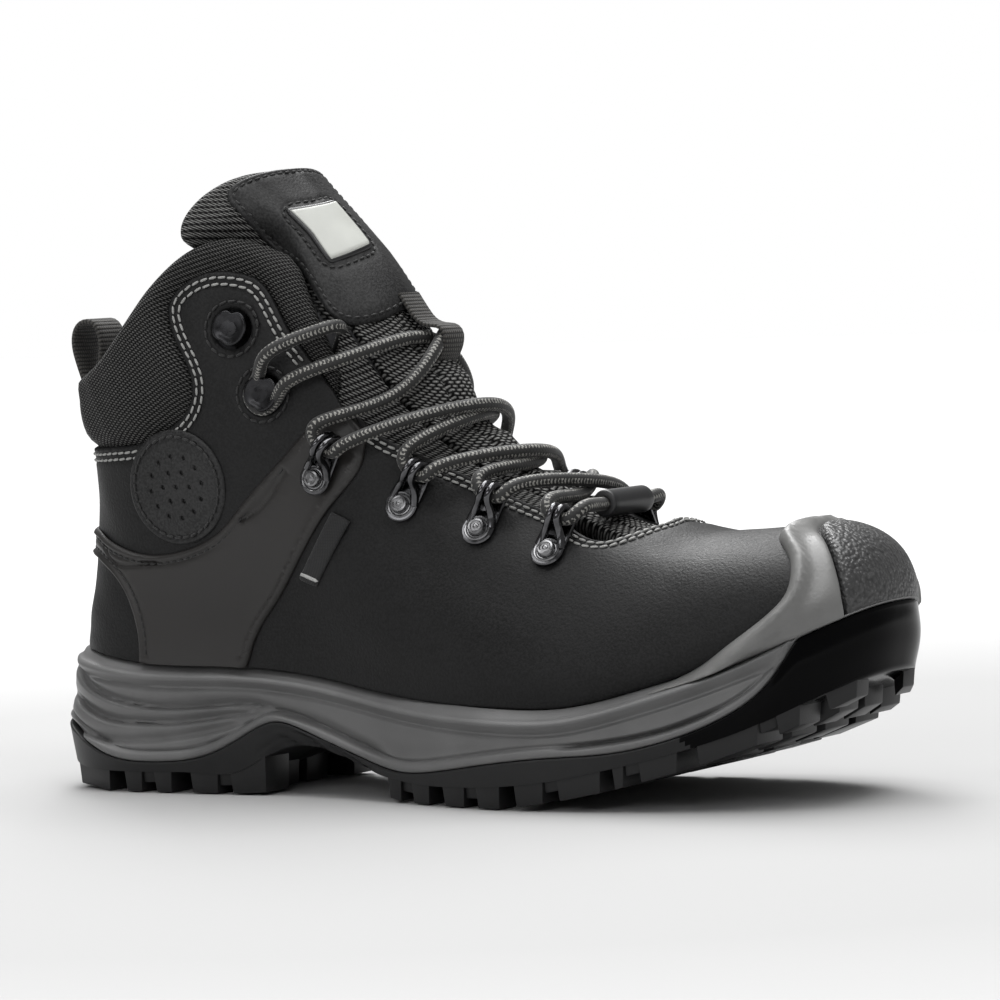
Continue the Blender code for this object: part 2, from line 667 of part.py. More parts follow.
make_vamp()
make_quarters()
make_heel_pieces()
make_collar()
make_linings()
make_toe()


# ---------------------------------------------------------------- tongue

FOLD_RING = 0.90


tongue_edge = curve([0.5, 0.6, 0.7, 0.8, 0.9], [.478, .450, .430, .421, .412])


def tongue_depth(turn, k):
    """The tongue is pressed in between the eyestays by the lace, less so near the top."""
    sink = 4.0 * (1 - smooth_step(k, 0.6, 0.86))
    return TONGUE[0] - sink, TONGUE[1] - sink


def side_run(edge, low, high, count):
    return [(edge(k), k) for k in (mix(low, high, i / (count - 1)) for i in range(count))]


def make_tongue():
    rise = side_run(tongue_edge, 0.53, FOLD_RING - 0.006, 9)
    lower = rise + [(1 - turn, k) for turn, k in rise[::-1]]
    patch("tongue_lower", lower, tongue_depth, "textile")
    half = [(0.413, 0.906), (0.408, 0.95), (0.396, 0.99), (0.366, 1.012), (0.322, 1.022), (0.29, 1.04), (0.278, 1.08),
            (0.288, 1.12), (0.315, 1.165), (0.35, 1.21), (0.40, 1.245), (0.46, 1.262)]
    patch("tongue_upper", half + [(1 - turn, k) for turn, k in half[::-1]], tongue_depth, "textile")
    lateral = [(0.450, 0.925), (0.428, 0.93), (0.410, 0.95), (0.394, 1.0), (0.368, 1.05), (0.352, 1.10),
               (0.352, 1.15), (0.370, 1.19), (0.40, 1.215), (0.44, 1.232)]
    medial = [(0.50, 1.235), (0.54, 1.222), (0.567, 1.195), (0.579, 1.15), (0.579, 1.08), (0.570, 1.0), (0.562, 0.95),
              (0.545, 0.93), (0.52, 0.925)]
    patch("tongue_patch", lateral + medial, (-1.9, -0.8), "leather")
    patch("tongue_label", [(0.415, 1.075), (0.420, 0.96), (0.508, 0.975), (0.503, 1.095)], (-0.1, 0.5), "label")
    for side, name in ((LATERAL, "lateral"), (MEDIAL, "medial")):
        inner = [(turn - 0.004, k) for turn, k in side_run(tongue_edge, 0.62, 0.80, 6)]
        outer = trace(grown([(206, 84), (202, 85.5), (180, 94), (163, 101.5), (150, 107), (142, 111.5)],
                            -2.6, -2.0), LATERAL)
        outline = inner + outer[::-1]
        if side > 0:
            outline = [(1 - turn, k) for turn, k in outline]
        patch("gusset_" + name, outline, (-4.7, -3.4), "textile")


make_tongue()
KEEPER = [(153.2, 131.6), (154.6, 135), (155.6, 141), (154.0, 148), (149.0, 153), (143.5, 155), (139.4, 154.8)]
PULL_LOOP = [(14.4, 121), (11.8, 129), (8.6, 138), (6.9, 146), (9.2, 151.4), (14.5, 152.2), (17.8, 147), (17.2, 138),
             (16.2, 130), (16.4, 122)]
strip("lace_keeper", smooth_path(KEEPER, 14), 13, 1.2, 0.4, "textile")
strip("pull_loop", smooth_path(PULL_LOOP, 22), 14, 1.5, 0.0, "textile")
patch("side_label", trace([(126.8, 90.5), (133.8, 87.5), (120, 66.8), (113, 69.2)], LATERAL), (0.7, 1.4), "label", 8)


# ---------------------------------------------------------------- fittings

LACE_RADIUS = 2.1
BAND_LIFT = 1.9
RIVETS = [(122, 101), (151, 92), (178, 84), (203, 77)]
EYE_AIMS = [(6, 11), (5, 11), (3, 12), (2, 11)]


def surface_point(x, z, side):
    return Vector((x, mid_line(x) + side * half_width(x, z, side), z))


class Seat:
    """A frame on one side of the upper: up points out of it, ahead along it, across completes them."""

    def __init__(self, x, z, side, aim, lift=0.0):
        self.up = outward(*to_ring(x, z, side))
        self.spot = surface_point(x, z, side) + self.up * lift
        ahead = surface_point(x + aim[0] * 0.3, z + aim[1] * 0.3, side) - surface_point(x, z, side)
        self.ahead = (ahead - self.up * ahead.dot(self.up)).normalized()
        self.across = self.up.cross(self.ahead)

    def place(self, ahead, across, up):
        return self.spot + self.ahead * ahead + self.across * across + self.up * up


def turned(name, seat, centre, profile, finish, count=10):
    """A solid turned about the seat's normal: profile pairs of radius and height, from the axis outwards."""
    points, faces = [], []
    for radius, height in profile[1:-1]:
        for i in range(count):
            angle = 2 * math.pi * i / count
            points.append(seat.place(centre + radius * math.cos(angle), radius * math.sin(angle), height))
    rings = len(profile) - 2
    for ring in range(rings - 1):
        for i in range(count):
            j = (i + 1) % count
            faces.append([ring * count + i, ring * count + j, ring * count + count + j, ring * count + count + i])
    points += [seat.place(centre, 0, profile[0][1]), seat.place(centre, 0, profile[-1][1])]
    for i in range(count):
        j = (i + 1) % count
        faces.append([j, i, rings * count])
        faces.append([(rings - 1) * count + i, (rings - 1) * count + j, rings * count + 1])
    return add_object(name, points, faces, finish)


def make_lace_loop(name, seat):
    """A riveted plate with a standing bar over the eye that the lace runs through."""
    outline = []
    for i in range(20):
        angle = 2 * math.pi * i / 20
        ahead = 5.0 * math.cos(angle) + (11.5 if math.cos(angle) > 0 else 0.0)
        outline.append((ahead, 5.0 * math.sin(angle) * (0.86 if math.cos(angle) > 0 else 1.0)))
    count = len(outline)
    points = [seat.place(a, b, 0.5) for a, b in outline] + [seat.place(a, b, 1.7) for a, b in outline]
    faces = [[i, (i + 1) % count, (i + 1) % count + count, i + count] for i in range(count)]
    faces += [list(range(count))[::-1], list(range(count, 2 * count))]
    plate = add_object(name, points, faces, "hardware")
    bar = [(6.6, 0.9), (6.6, 4.0), (7.6, 6.9), (10.5, 8.1), (13.4, 6.9), (14.4, 4.0), (14.4, 0.9)]
    arch = tube(name + "_bar", [seat.place(a, 0, h) for a, h in bar], 1.15, "hardware")
    combine(plate, as_mesh(arch), "UNION")
    turned(name.replace("loop", "rivet"), seat, 0.0,
           [(0, 2.0), (3.3, 2.0), (3.4, 2.8), (2.3, 3.9), (0, 4.3)], "hardware")


def make_hook(name, seat):
    """A mushroom hook sunk in its round window: a base disc under the leather, a neck and a head."""
    turned(name, seat, 0.0, [(0, -4.6), (8.2, -4.6), (8.2, -3.0), (2.0, -2.6), (2.0, 4.9), (4.6, 5.3), (4.4, 6.1),
                             (2.4, 6.8), (0, 7.0)], "hardware")


seats = {}
hooks = {}
for side, word in ((LATERAL, "lateral"), (MEDIAL, "medial")):
    for row, ((x, z), aim) in enumerate(zip(RIVETS, EYE_AIMS), 1):
        seats[side, row] = Seat(x, z, side, aim, BAND_LIFT if row == 1 else 0.2)
        make_lace_loop(f"lace_loop_{word}_{row}", seats[side, row])
    for row, (x, z) in enumerate(HOOK_SPOTS, 1):
        hooks[side, row] = Seat(x, z, side, (6, 6))
        make_hook(f"hook_{word}_{row}", hooks[side, row])


# ---------------------------------------------------------------- lace

CROSSING_X = {"bar": 211.5, 4: 198.5, 3: 181, 2: 163, "keeper": 145.5}
BAR_HEIGHT = 91.0


def eye_pass(seat, towards_heel):
    """The lace through one loop's eye and back towards the middle."""
    sign = 1 if (seat.across.x < 0) == towards_heel else -1
    turn = [(18.5, -5.0, 5.0), (12.5, -4.4, 4.4), (10.5, 0.0, 4.2), (12.5, 4.4, 4.4), (18.5, 5.0, 5.0)]
    return [seat.place(ahead, sign * across, up) for ahead, across, up in turn]


def hook_pass(seat, towards_heel):
    """The lace round the back of a hook's neck."""
    sign = 1 if (seat.across.x < 0) == towards_heel else -1
    turn = [(10.0, -4.9, 4.2), (3.0, -4.7, 3.0), (-3.1, -3.5, 2.6), (-4.7, 0.0, 2.6), (-3.1, 3.5, 2.6), (3.0, 4.7, 3.0)]
    return [seat.place(ahead, sign * across, up) for ahead, across, up in turn]


def crossing(name, lift):
    """The middle of a strand, where it passes the other one over the tongue."""
    x = CROSSING_X[name]
    k = to_ring(x, ridge(x) - 0.2, LATERAL)[1]
    return Vector((x, mid_line(x), ridge(x))) + outward(0.5, k) * (tongue_depth(0.5, k)[1] + LACE_RADIUS + 1.2 + lift)


OVER = 4.8
HOOK_STRAND = (132.5, 139.5, 2.2)
LOOP_STRAND = (143, 126, 1.6)


def aside(x, z, depth, side):
    """A waypoint beside the middle, at a height above the upper's face."""
    return surface_point(x, z, side) + outward(*to_ring(x, z, side)) * depth


def lace_route():
    """One lace from its end inside the lateral side, down the rows, across, up, to its other end."""
    def tail(side):
        seat = hooks[side, 2]
        rim = [(119, 146, 4.9), (123.5, 148, 2.2), (125.3, 149, -3.5), (125.0, 148, -9.5), (122, 143, -13)]
        inside = [(119, 130, -13.5), (116, 116, -13.5), (112, 104, -13.5)]
        spots = [aside(*spot, side) for spot in rim + inside]
        return [seat.place(12.0, 5.4 if seat.across.x < 0 else -5.4, 7.0)] + spots
    down = tail(LATERAL)[::-1] + hook_pass(hooks[LATERAL, 2], True)[::-1]
    down += [aside(*HOOK_STRAND, LATERAL), crossing("keeper", 0), aside(*LOOP_STRAND, MEDIAL)]
    for side, row in ((MEDIAL, 1), (LATERAL, 2), (MEDIAL, 3), (LATERAL, 4)):
        down += eye_pass(seats[side, row], False)
        if row < 4:
            down.append(crossing(row + 1, 0.6 if row != 2 else OVER + 0.6))
    bar = [Vector((CROSSING_X["bar"], mid_line(212) + y, BAR_HEIGHT)) for y in (-15.5, -8, 0, 8, 15.5)]
    up = []
    for side, row in ((MEDIAL, 4), (LATERAL, 3), (MEDIAL, 2), (LATERAL, 1)):
        up += eye_pass(seats[side, row], True)
        if row > 1:
            up.append(crossing(row, OVER + 0.6 if row != 3 else 0.6))
    up += [aside(*LOOP_STRAND, LATERAL), crossing("keeper", OVER), aside(*HOOK_STRAND, MEDIAL)]
    up += hook_pass(hooks[MEDIAL, 2], True)
    return down + bar + up + tail(MEDIAL)


def lace_line(points):
    """The smooth line through the route, with more points only on its long stretches."""
    steps = [0.0]
    for p, q in zip(points, points[1:]):
        steps.append(steps[-1] + (q - p).length ** 0.5)
    axes = [curve(steps, [p[i] for p in points]) for i in range(3)]
    line = []
    for i in range(len(points) - 1):
        parts = max(round((points[i + 1] - points[i]).length / 10), 1)
        line += [Vector([axis(mix(steps[i], steps[i + 1], j / parts)) for axis in axes]) for j in range(parts)]
    return line + [points[-1]]


lace = lace_line(lace_route())
tube("lace", lace, LACE_RADIUS, "lace", 2)


# ---------------------------------------------------------------- lace tag and tips

def sleeve(name, first, last, inner, outer, finish, count=14):
    """A hollow round sleeve between two points in line along Y."""
    points, faces = [], []
    for end, radius in ((first, inner), (first, outer), (last, outer), (last, inner)):
        for i in range(count):
            angle = 2 * math.pi * i / count
            points.append((end[0] + radius * math.cos(angle), end[1], end[2] + radius * math.sin(angle)))
    for ring in range(4):
        here, there = ring * count, (ring + 1) % 4 * count
        for i in range(count):
            j = (i + 1) % count
            faces.append([here + i, here + j, there + j, there + i])
    return add_object(name, points, faces, finish)


TAG_HALF = 12.0
TAG_CENTRE = (CROSSING_X["bar"], mid_line(212), BAR_HEIGHT)
sleeve("lace_tag", (TAG_CENTRE[0], TAG_CENTRE[1] - TAG_HALF, BAR_HEIGHT),
       (TAG_CENTRE[0], TAG_CENTRE[1] + TAG_HALF, BAR_HEIGHT), LACE_RADIUS + 0.5, 4.3, "hardware")
for word, end, before in (("lateral", lace[0], lace[1]), ("medial", lace[-1], lace[-2])):
    along = (end - before).normalized()
    tube("lace_tip_" + word, [end + along * GAP, end + along * 12], 1.7, "hardware")
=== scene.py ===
"""Looks of a steel toe work boot, right foot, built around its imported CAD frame.

Lengths are in millimetres in the boot's own design frame, which the CAD shares: x from the back
of the heel to the toe, y across it (the outer, lateral side is negative), z up from the ground.
The upper is one surface in ring coordinates: a turn round the foot (0 at the heel, 0.5 at the
front) and a ring up the shaft. Skins are outlines on it, drawn flat in millimetres.
"""

import math

import bmesh
import bpy
import numpy as np
from mathutils import Matrix, Vector
from mathutils.geometry import delaunay_2d_cdt
from mathutils.noise import noise

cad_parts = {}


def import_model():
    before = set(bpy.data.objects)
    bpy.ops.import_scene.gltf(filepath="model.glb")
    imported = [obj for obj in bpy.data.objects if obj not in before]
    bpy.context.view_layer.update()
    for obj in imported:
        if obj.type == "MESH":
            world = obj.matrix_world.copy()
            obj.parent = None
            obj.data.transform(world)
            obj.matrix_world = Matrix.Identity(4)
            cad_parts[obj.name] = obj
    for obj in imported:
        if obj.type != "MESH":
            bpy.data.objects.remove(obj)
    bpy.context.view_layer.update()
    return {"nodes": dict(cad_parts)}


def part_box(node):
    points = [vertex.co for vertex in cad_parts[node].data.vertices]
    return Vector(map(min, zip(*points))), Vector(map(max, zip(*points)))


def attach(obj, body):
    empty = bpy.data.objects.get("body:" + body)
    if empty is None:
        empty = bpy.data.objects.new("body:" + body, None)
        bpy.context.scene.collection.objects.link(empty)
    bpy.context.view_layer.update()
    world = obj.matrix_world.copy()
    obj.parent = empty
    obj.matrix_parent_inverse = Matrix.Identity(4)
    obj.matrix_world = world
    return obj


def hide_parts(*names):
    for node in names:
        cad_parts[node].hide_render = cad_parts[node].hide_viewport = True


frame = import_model()

MM = 0.001
CENTRE = np.array((155.0, 0.45, 0.0))
LATERAL, MEDIAL = -1, 1
SIDES = ((LATERAL, "lateral"), (MEDIAL, "medial"))

# sole and upper, as in the CAD
LENGTH = 306.0
SOLE_BACK = 4.0
RECESS_INSET = 8.0
RECESS_DEPTH = 10.3
TOE_TIP = 301.5
TOE_REACH = 100.0
HEEL_REACH = 36.0
TURN_LENGTH = 560.0
RING_LENGTH = 125.0
FOOT_RISE = 1.2
TONGUE_RING = 1.3
HEEL_POWER = 2.3
TOE_POWER = 2.4


# ---------------------------------------------------------------- curves and the body's surface

def curve(xs, ys):
    """A smooth function through the points (natural cubic spline, flat outside), for arrays."""
    xs, ys = np.array(xs, float), np.array(ys, float)
    n, h = len(xs), np.diff(xs)
    matrix, right = np.eye(n), np.zeros(n)
    for i in range(1, n - 1):
        matrix[i, i - 1:i + 2] = h[i - 1], 2 * (h[i - 1] + h[i]), h[i]
        right[i] = 6 * ((ys[i + 1] - ys[i]) / h[i] - (ys[i] - ys[i - 1]) / h[i - 1])
    bend = np.linalg.solve(matrix, right)

    def value(x):
        x = np.clip(x, xs[0], xs[-1])
        i = np.clip(np.searchsorted(xs, x) - 1, 0, n - 2)
        a, b, w = xs[i + 1] - x, x - xs[i], h[i]
        straight = (ys[i] / w - bend[i] * w / 6) * a + (ys[i + 1] / w - bend[i + 1] * w / 6) * b
        return (bend[i] * a ** 3 + bend[i + 1] * b ** 3) / (6 * w) + straight
    return value


def smooth_step(x, low, high):
    t = np.clip((x - low) / (high - low), 0, 1)
    return t * t * (3 - 2 * t)


def mix(a, b, t):
    return a + (b - a) * t


def blunt(t, power):
    """How far a superellipse stands at t, which runs from 0 at its middle to 1 at its end."""
    return np.maximum(1 - t ** power, 0) ** (1 / power)


def run_along(line):
    """The distance along a polyline at each of its points."""
    return np.concatenate(([0], np.cumsum(np.linalg.norm(np.diff(line, axis=0), axis=1))))


def circle_angles(count):
    return np.linspace(0, 2 * np.pi, count, endpoint=False)


def shut(line):
    """The line with its first point again at its end."""
    return np.vstack((line, line[:1]))


sole_lateral = curve([0, 30, 80, 112, 150, 190, 225, 260, 306], [38, 38, 37, 36, 43, 53, 54, 51, 48])
sole_medial = curve([0, 30, 80, 112, 150, 190, 225, 260, 306], [37, 37, 35, 33, 38, 46, 50, 49, 46])
upper_lateral = curve([0, 40, 80, 115, 150, 190, 225, 260, 303], [37.5, 38, 38.5, 37.5, 42, 49, 50.5, 48, 45])
upper_medial = curve([0, 40, 80, 115, 150, 190, 225, 260, 303], [37, 37.5, 38, 36, 38, 43, 46.5, 46, 43])
feather = curve([4, 25, 50, 80, 110, 150, 195, 215, 240, 270, 306],
                [44.5, 42.5, 39.5, 39, 37, 31, 28, 28.5, 34, 44, 62])
tread_tips = curve([0, 8, 20, 32, 50, 70, 90, 98, 110, 130, 146, 158, 172, 187, 205, 225, 249, 274, 306],
                   [8, 3, 0.6, -0.6, -0.6, -0.6, -0.6, 1.5, 6, 6, 1.2, -0.4, -0.6, -0.6, 1.5, 5, 11, 19, 37])
tread_base = curve([0, 14, 30, 50, 70, 86, 100, 118, 135, 150, 187, 205, 225, 249, 274, 306],
                   [14, 8.5, 6.7, 6.5, 6.5, 7.2, 14, 15, 10, 7, 6.5, 8, 11.5, 17, 25, 41])
top_line = curve([40, 70, 95, 108, 121, 135, 143, 152, 165, 180, 198, 222, 244, 266, 285, 306],
                 [262, 234, 203, 190, 177, 160, 147, 133, 117.5, 106, 97, 88.5, 82.5, 84, 88.5, 93])
dome = curve([40, 80, 102, 125, 150, 178, 200, 244, 285, 306],
             [4.5, 4.5, 3.4, 2.2, 1.75, 1.75, 1.8, 2.2, 2.5, 2.5])
heel_back = curve([20, 45, 60, 76, 92, 106, 120, 134, 150, 200],
                  [11, 13, 15, 18.5, 20.5, 20.5, 19, 18.5, 18.5, 18.5])
heel_width = curve([35, 45, 60, 80, 100, 125, 150, 200], [.88, .90, .90, .92, .97, 1.0, 1.01, 1.0])
collar_line = curve([14, 27, 41, 53, 66, 80, 92, 104, 121],
                    [134, 135, 141, 153.5, 166.5, 175, 178.5, 179, 178])
instep_front = curve([.2, .35, .5, .65, .8, .92, 1, 1.3], [291, 266, 234, 196, 158, 134, 121, 95])
ring_back = curve([0, .2, .35, .5, .65, .8, 1, 1.3], [45.7, 56, 65, 77, 92, 109, 134, 172])
ring_power = curve([0, .1, .25, .5, .7, .85, 1.3], [1, 1.8, 2.2, 1.8, 1.2, 1, 1])


def mid_line(x):
    return 6 * smooth_step(x, 160, 300)


def half_width(x, z, side):
    """Half the width of the upper's outer face, measured from its mid line."""
    width = np.where(side < 0, upper_lateral(x), upper_medial(x))
    rise = np.maximum((z - feather(x)) / (top_line(x) - feather(x)), 0)
    power = dome(x)
    toe = np.maximum(0, (x - TOE_TIP + TOE_REACH) / TOE_REACH)
    inside = np.maximum(1 - rise ** power - toe ** 5, 0)
    width = width * mix(heel_width(z), 0.94 + 0.06 * smooth_step(rise, 0, 0.2), smooth_step(x, 100, 150))
    back = np.clip((heel_back(z) + HEEL_REACH - x) / HEEL_REACH, 0, 1)
    return width * inside ** (1 / np.minimum(power, 2.2)) * blunt(back, HEEL_POWER)


def ridge(x):
    """The height of the upper's top along its middle."""
    toe = np.maximum(0, (x - TOE_TIP + TOE_REACH) / TOE_REACH)
    return mix(feather(x), top_line(x), np.maximum(0, 1 - toe ** 5) ** (1 / dome(x)))


def ring_front(k):
    return np.where(k < 0.2, TOE_TIP - 20 * (3.865 * np.maximum(k, 0)) ** 2.5, instep_front(k))


def ring_height(share, k):
    """Place and height of ring k at a share of its length, 0 at the heel and 1 at the front."""
    front = ring_front(k)
    back = heel_back(ring_back(k))
    x = mix(back, front, share)
    low, high = ring_back(k), np.where(k > 0, ridge(front), feather(front))
    plain = mix(low, high, share ** ring_power(k))
    sag = feather(x) - mix(feather(back), feather(front), share)
    collar = collar_line(x) - mix(collar_line(back), collar_line(front), share)
    return x, plain + sag * np.maximum(0, 1 - k) ** 1.5 + collar * np.minimum(k, 1) ** 6


def on_ring(turn, k):
    """Points of the upper's outer face."""
    turn, k = np.asarray(turn, float) % 1.0, np.asarray(k, float)
    side = np.where(turn <= 0.5, LATERAL, MEDIAL)
    x, z = ring_height((1 - np.cos(2 * np.pi * turn)) / 2, k)
    z = np.where(x > 90, np.minimum(z, ridge(x)), z)
    return np.stack((x, mid_line(x) + side * half_width(x, z, side), z), -1)


def unit(v):
    return v / np.maximum(np.linalg.norm(v, axis=-1, keepdims=True), 1e-12)


def outward(turn, k):
    """The outer face's normals, out of the boot."""
    turn, k = np.asarray(turn, float), np.asarray(k, float)
    step = 0.004
    along = on_ring(turn + step, k) - on_ring(turn - step, k)
    up = on_ring(turn, k + step) - on_ring(turn, np.maximum(k - step, 0))
    return unit(np.cross(along, up))


def to_ring(x, z, side):
    """Turn and ring of the surface points at x and z on one side."""
    x, z = np.asarray(x, float), np.asarray(z, float)
    low, high = np.zeros(x.shape), np.full(x.shape, TONGUE_RING)
    for _ in range(34):
        k = (low + high) / 2
        front, back = ring_front(k), heel_back(ring_back(k))
        share = np.clip((x - back) / (front - back), 0, 1)
        below = (x <= front) & (ring_height(share, k)[1] < z)
        low, high = np.where(below, k, low), np.where(below, high, k)
    turn = np.arccos(1 - 2 * share) / (2 * np.pi)
    return (turn, k) if side < 0 else (1 - turn, k)


def on_side(x, z, side):
    """The surface point at x and z on one side."""
    return np.array((x, mid_line(x) + side * half_width(x, z, side), z), float)


def normal_at(x, z, side):
    return outward(*to_ring(x, z, side))


# ---------------------------------------------------------------- lines drawn flat on the surface

ring_mm = np.array((TURN_LENGTH, RING_LENGTH))


def flat(turn, k):
    """Turn and ring as flat spots, in millimetres."""
    return np.stack((np.asarray(turn) * TURN_LENGTH, np.asarray(k) * RING_LENGTH), -1)


def ring_of(spots):
    """Turn and ring of flat spots."""
    return spots[:, 0] / TURN_LENGTH, spots[:, 1] / RING_LENGTH


def lift(spots, height=0.0):
    """Flat spots as points in space, at a height above the outer face."""
    turn, k = ring_of(spots)
    return on_ring(turn, k) + outward(turn, k) * np.reshape(height, (-1, 1))


def resample(points, step, closed=False):
    """Evenly spaced points along a polyline."""
    points = np.asarray(points, float)
    if closed:
        points = shut(points)
    run = run_along(points)
    count = max(int(round(run[-1] / step)), 2)
    at = np.linspace(0, run[-1], count + 1)[:-1 if closed else None]
    return np.stack([np.interp(at, run, points[:, i]) for i in range(points.shape[1])], -1)


def smooth(points, step=2.0, closed=False):
    """A smooth line through the points, evenly sampled."""
    points = np.asarray(points, float)
    if closed:
        points = np.vstack((points[-3:], points, points[:3]))
    gaps = np.maximum(np.linalg.norm(np.diff(points, axis=0), axis=1), 1e-6) ** 0.5
    at = np.concatenate(([0], np.cumsum(gaps)))
    first, last = (at[3], at[-3]) if closed else (at[0], at[-1])
    fine = np.linspace(first, last, 60 * len(points))
    line = np.stack([curve(at, points[:, i])(fine) for i in range(points.shape[1])], -1)
    return resample(line[:-1] if closed else line, step, closed)


def traced(points):
    """A smooth flat line through x, z points on the lateral side."""
    spots = flat(*to_ring(*np.array(points, float).T, LATERAL))
    return smooth(spots) if len(points) > 2 else resample(spots, 2.0)


def mirrored(line):
    """The same flat line on the other side of the toe's middle, run the other way."""
    return np.stack((TURN_LENGTH - line[::-1, 0], line[::-1, 1]), -1)


def on_other(line):
    """The same flat line on the other side of the heel's middle, run the other way."""
    return np.stack((-line[::-1, 0], line[::-1, 1]), -1)


def foot_line(x0, x1, k):
    """A flat line along the lateral side's foot, on ring k."""
    ends = np.array((x0, x1), float)
    return resample(flat(to_ring(ends, feather(ends) + FOOT_RISE, LATERAL)[0], (k, k)), 2.0)


def moved(line, distance, closed=False):
    """A line moved sideways to its left."""
    ahead = (np.roll(line, -1, 0) - np.roll(line, 1, 0)) if closed else np.gradient(line, axis=0)
    ahead = unit(ahead)
    return line + np.stack((-ahead[:, 1], ahead[:, 0]), -1) * distance


def beside(line, distance, closed=False):
    """A line moved to its left by a distance measured on the surface itself."""
    spots = lift(line)
    ahead = (np.roll(spots, -1, 0) - np.roll(spots, 1, 0)) if closed else np.gradient(spots, axis=0)
    side = np.cross(outward(*ring_of(line)), unit(ahead)) * distance
    step = 0.05
    u = (lift(line + (step, 0)) - lift(line - (step, 0))) / (2 * step)
    v = (lift(line + (0, step)) - lift(line - (0, step))) / (2 * step)
    uu, uv, vv = (u * u).sum(1), (u * v).sum(1), (v * v).sum(1)
    us, vs = (u * side).sum(1), (v * side).sum(1)
    share = np.maximum(uu * vv - uv * uv, 1e-6)
    return line + np.stack(((us * vv - vs * uv) / share, (vs * uu - us * uv) / share), -1)


def round_corners(loop, times):
    """The closed loop with its corners eased."""
    for _ in range(times):
        loop = (np.roll(loop, 1, 0) + 2 * loop + np.roll(loop, -1, 0)) / 4
    return loop


def sides_of(corners, step):
    """The sides of a polygon, each one resampled up to its next corner."""
    return [resample(ends, step)[:-1] for ends in zip(corners, np.roll(corners, -1, 0))]


def joined(*parts):
    """A closed outline through the parts, one after another."""
    return resample(np.vstack(parts), 1.6, closed=True)


def ring_circle(x, z, radius, count=40):
    """A flat circle about x, z on the lateral side."""
    angle = circle_angles(count)
    return flat(*to_ring(x + radius * np.cos(angle), z + radius * np.sin(angle), LATERAL))


CHUNK = 2000  # spots worked on at once


def distance(spots, line, closed=True):
    """Distance of flat spots from a flat polyline."""
    a, b = (line, np.roll(line, -1, 0)) if closed else (line[:-1], line[1:])
    long = np.maximum(((b - a) ** 2).sum(1), 1e-9)
    best = np.full(len(spots), 1e9)
    for start in range(0, len(spots), CHUNK):
        p = spots[start:start + CHUNK, None]
        t = np.clip(((p - a) * (b - a)).sum(-1) / long, 0, 1)
        best[start:start + CHUNK] = np.linalg.norm(p - a - t[..., None] * (b - a), axis=-1).min(1)
    return best


def inside(spots, loop):
    """Which flat spots lie in a flat loop."""
    a, b = loop, np.roll(loop, -1, 0)
    found = np.zeros(len(spots), bool)
    for start in range(0, len(spots), CHUNK):
        p = spots[start:start + CHUNK, None]
        crosses = (a[:, 1] > p[..., 1]) != (b[:, 1] > p[..., 1])
        with np.errstate(divide="ignore", invalid="ignore"):
            at = a[:, 0] + (b[:, 0] - a[:, 0]) * (p[..., 1] - a[:, 1]) / (b[:, 1] - a[:, 1])
        found[start:start + CHUNK] = (crosses & (p[..., 0] < at)).sum(1) % 2 == 1
    return found


# ---------------------------------------------------------------- making objects

def world(points):
    """Points of the design frame, in millimetres, as places in the scene."""
    return (np.asarray(points, float) - CENTRE) * MM


def make_object(name, points, faces, material, uv, sharp_angle):
    """A mesh object from points in millimetres, with edges sharp past an angle in degrees, all smooth at 180.

    uv is None or holds one flat spot in millimetres a point.
    """
    mesh = bpy.data.meshes.new(name)
    mesh.from_pydata(world(points).tolist(), [], [list(map(int, face)) for face in faces])
    if uv is not None:
        layer = mesh.uv_layers.new(name="flat")
        corners = np.zeros(len(mesh.loops), np.int32)
        mesh.loops.foreach_get("vertex_index", corners)
        layer.data.foreach_set("uv", (np.asarray(uv)[corners] * MM).ravel())
    mesh.materials.append(material)
    mesh.shade_smooth()
    if sharp_angle < 180:
        mesh.set_sharp_from_angle(angle=math.radians(sharp_angle))
    made = bpy.data.objects.new(name, mesh)
    bpy.context.scene.collection.objects.link(made)
    return made


def face_out(thing):
    """Turns the closed mesh's faces outwards."""
    work = bmesh.new()
    work.from_mesh(thing.data)
    bmesh.ops.recalc_face_normals(work, faces=work.faces)
    if work.calc_volume(signed=True) < 0:
        bmesh.ops.reverse_faces(work, faces=work.faces)
    work.to_mesh(thing.data)
    work.free()
    return thing


def place(thing, body, slot, *nodes):
    """Rides the piece on its body and hides the CAD parts it stands for. slot is not used."""
    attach(thing, body)
    if nodes:
        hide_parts(*nodes)
    return thing


RIM_LANES = (0.35, 0.9, 1.7)
GUIDE_LANES = (-1.5, -0.7, 0, 0.7, 1.5)


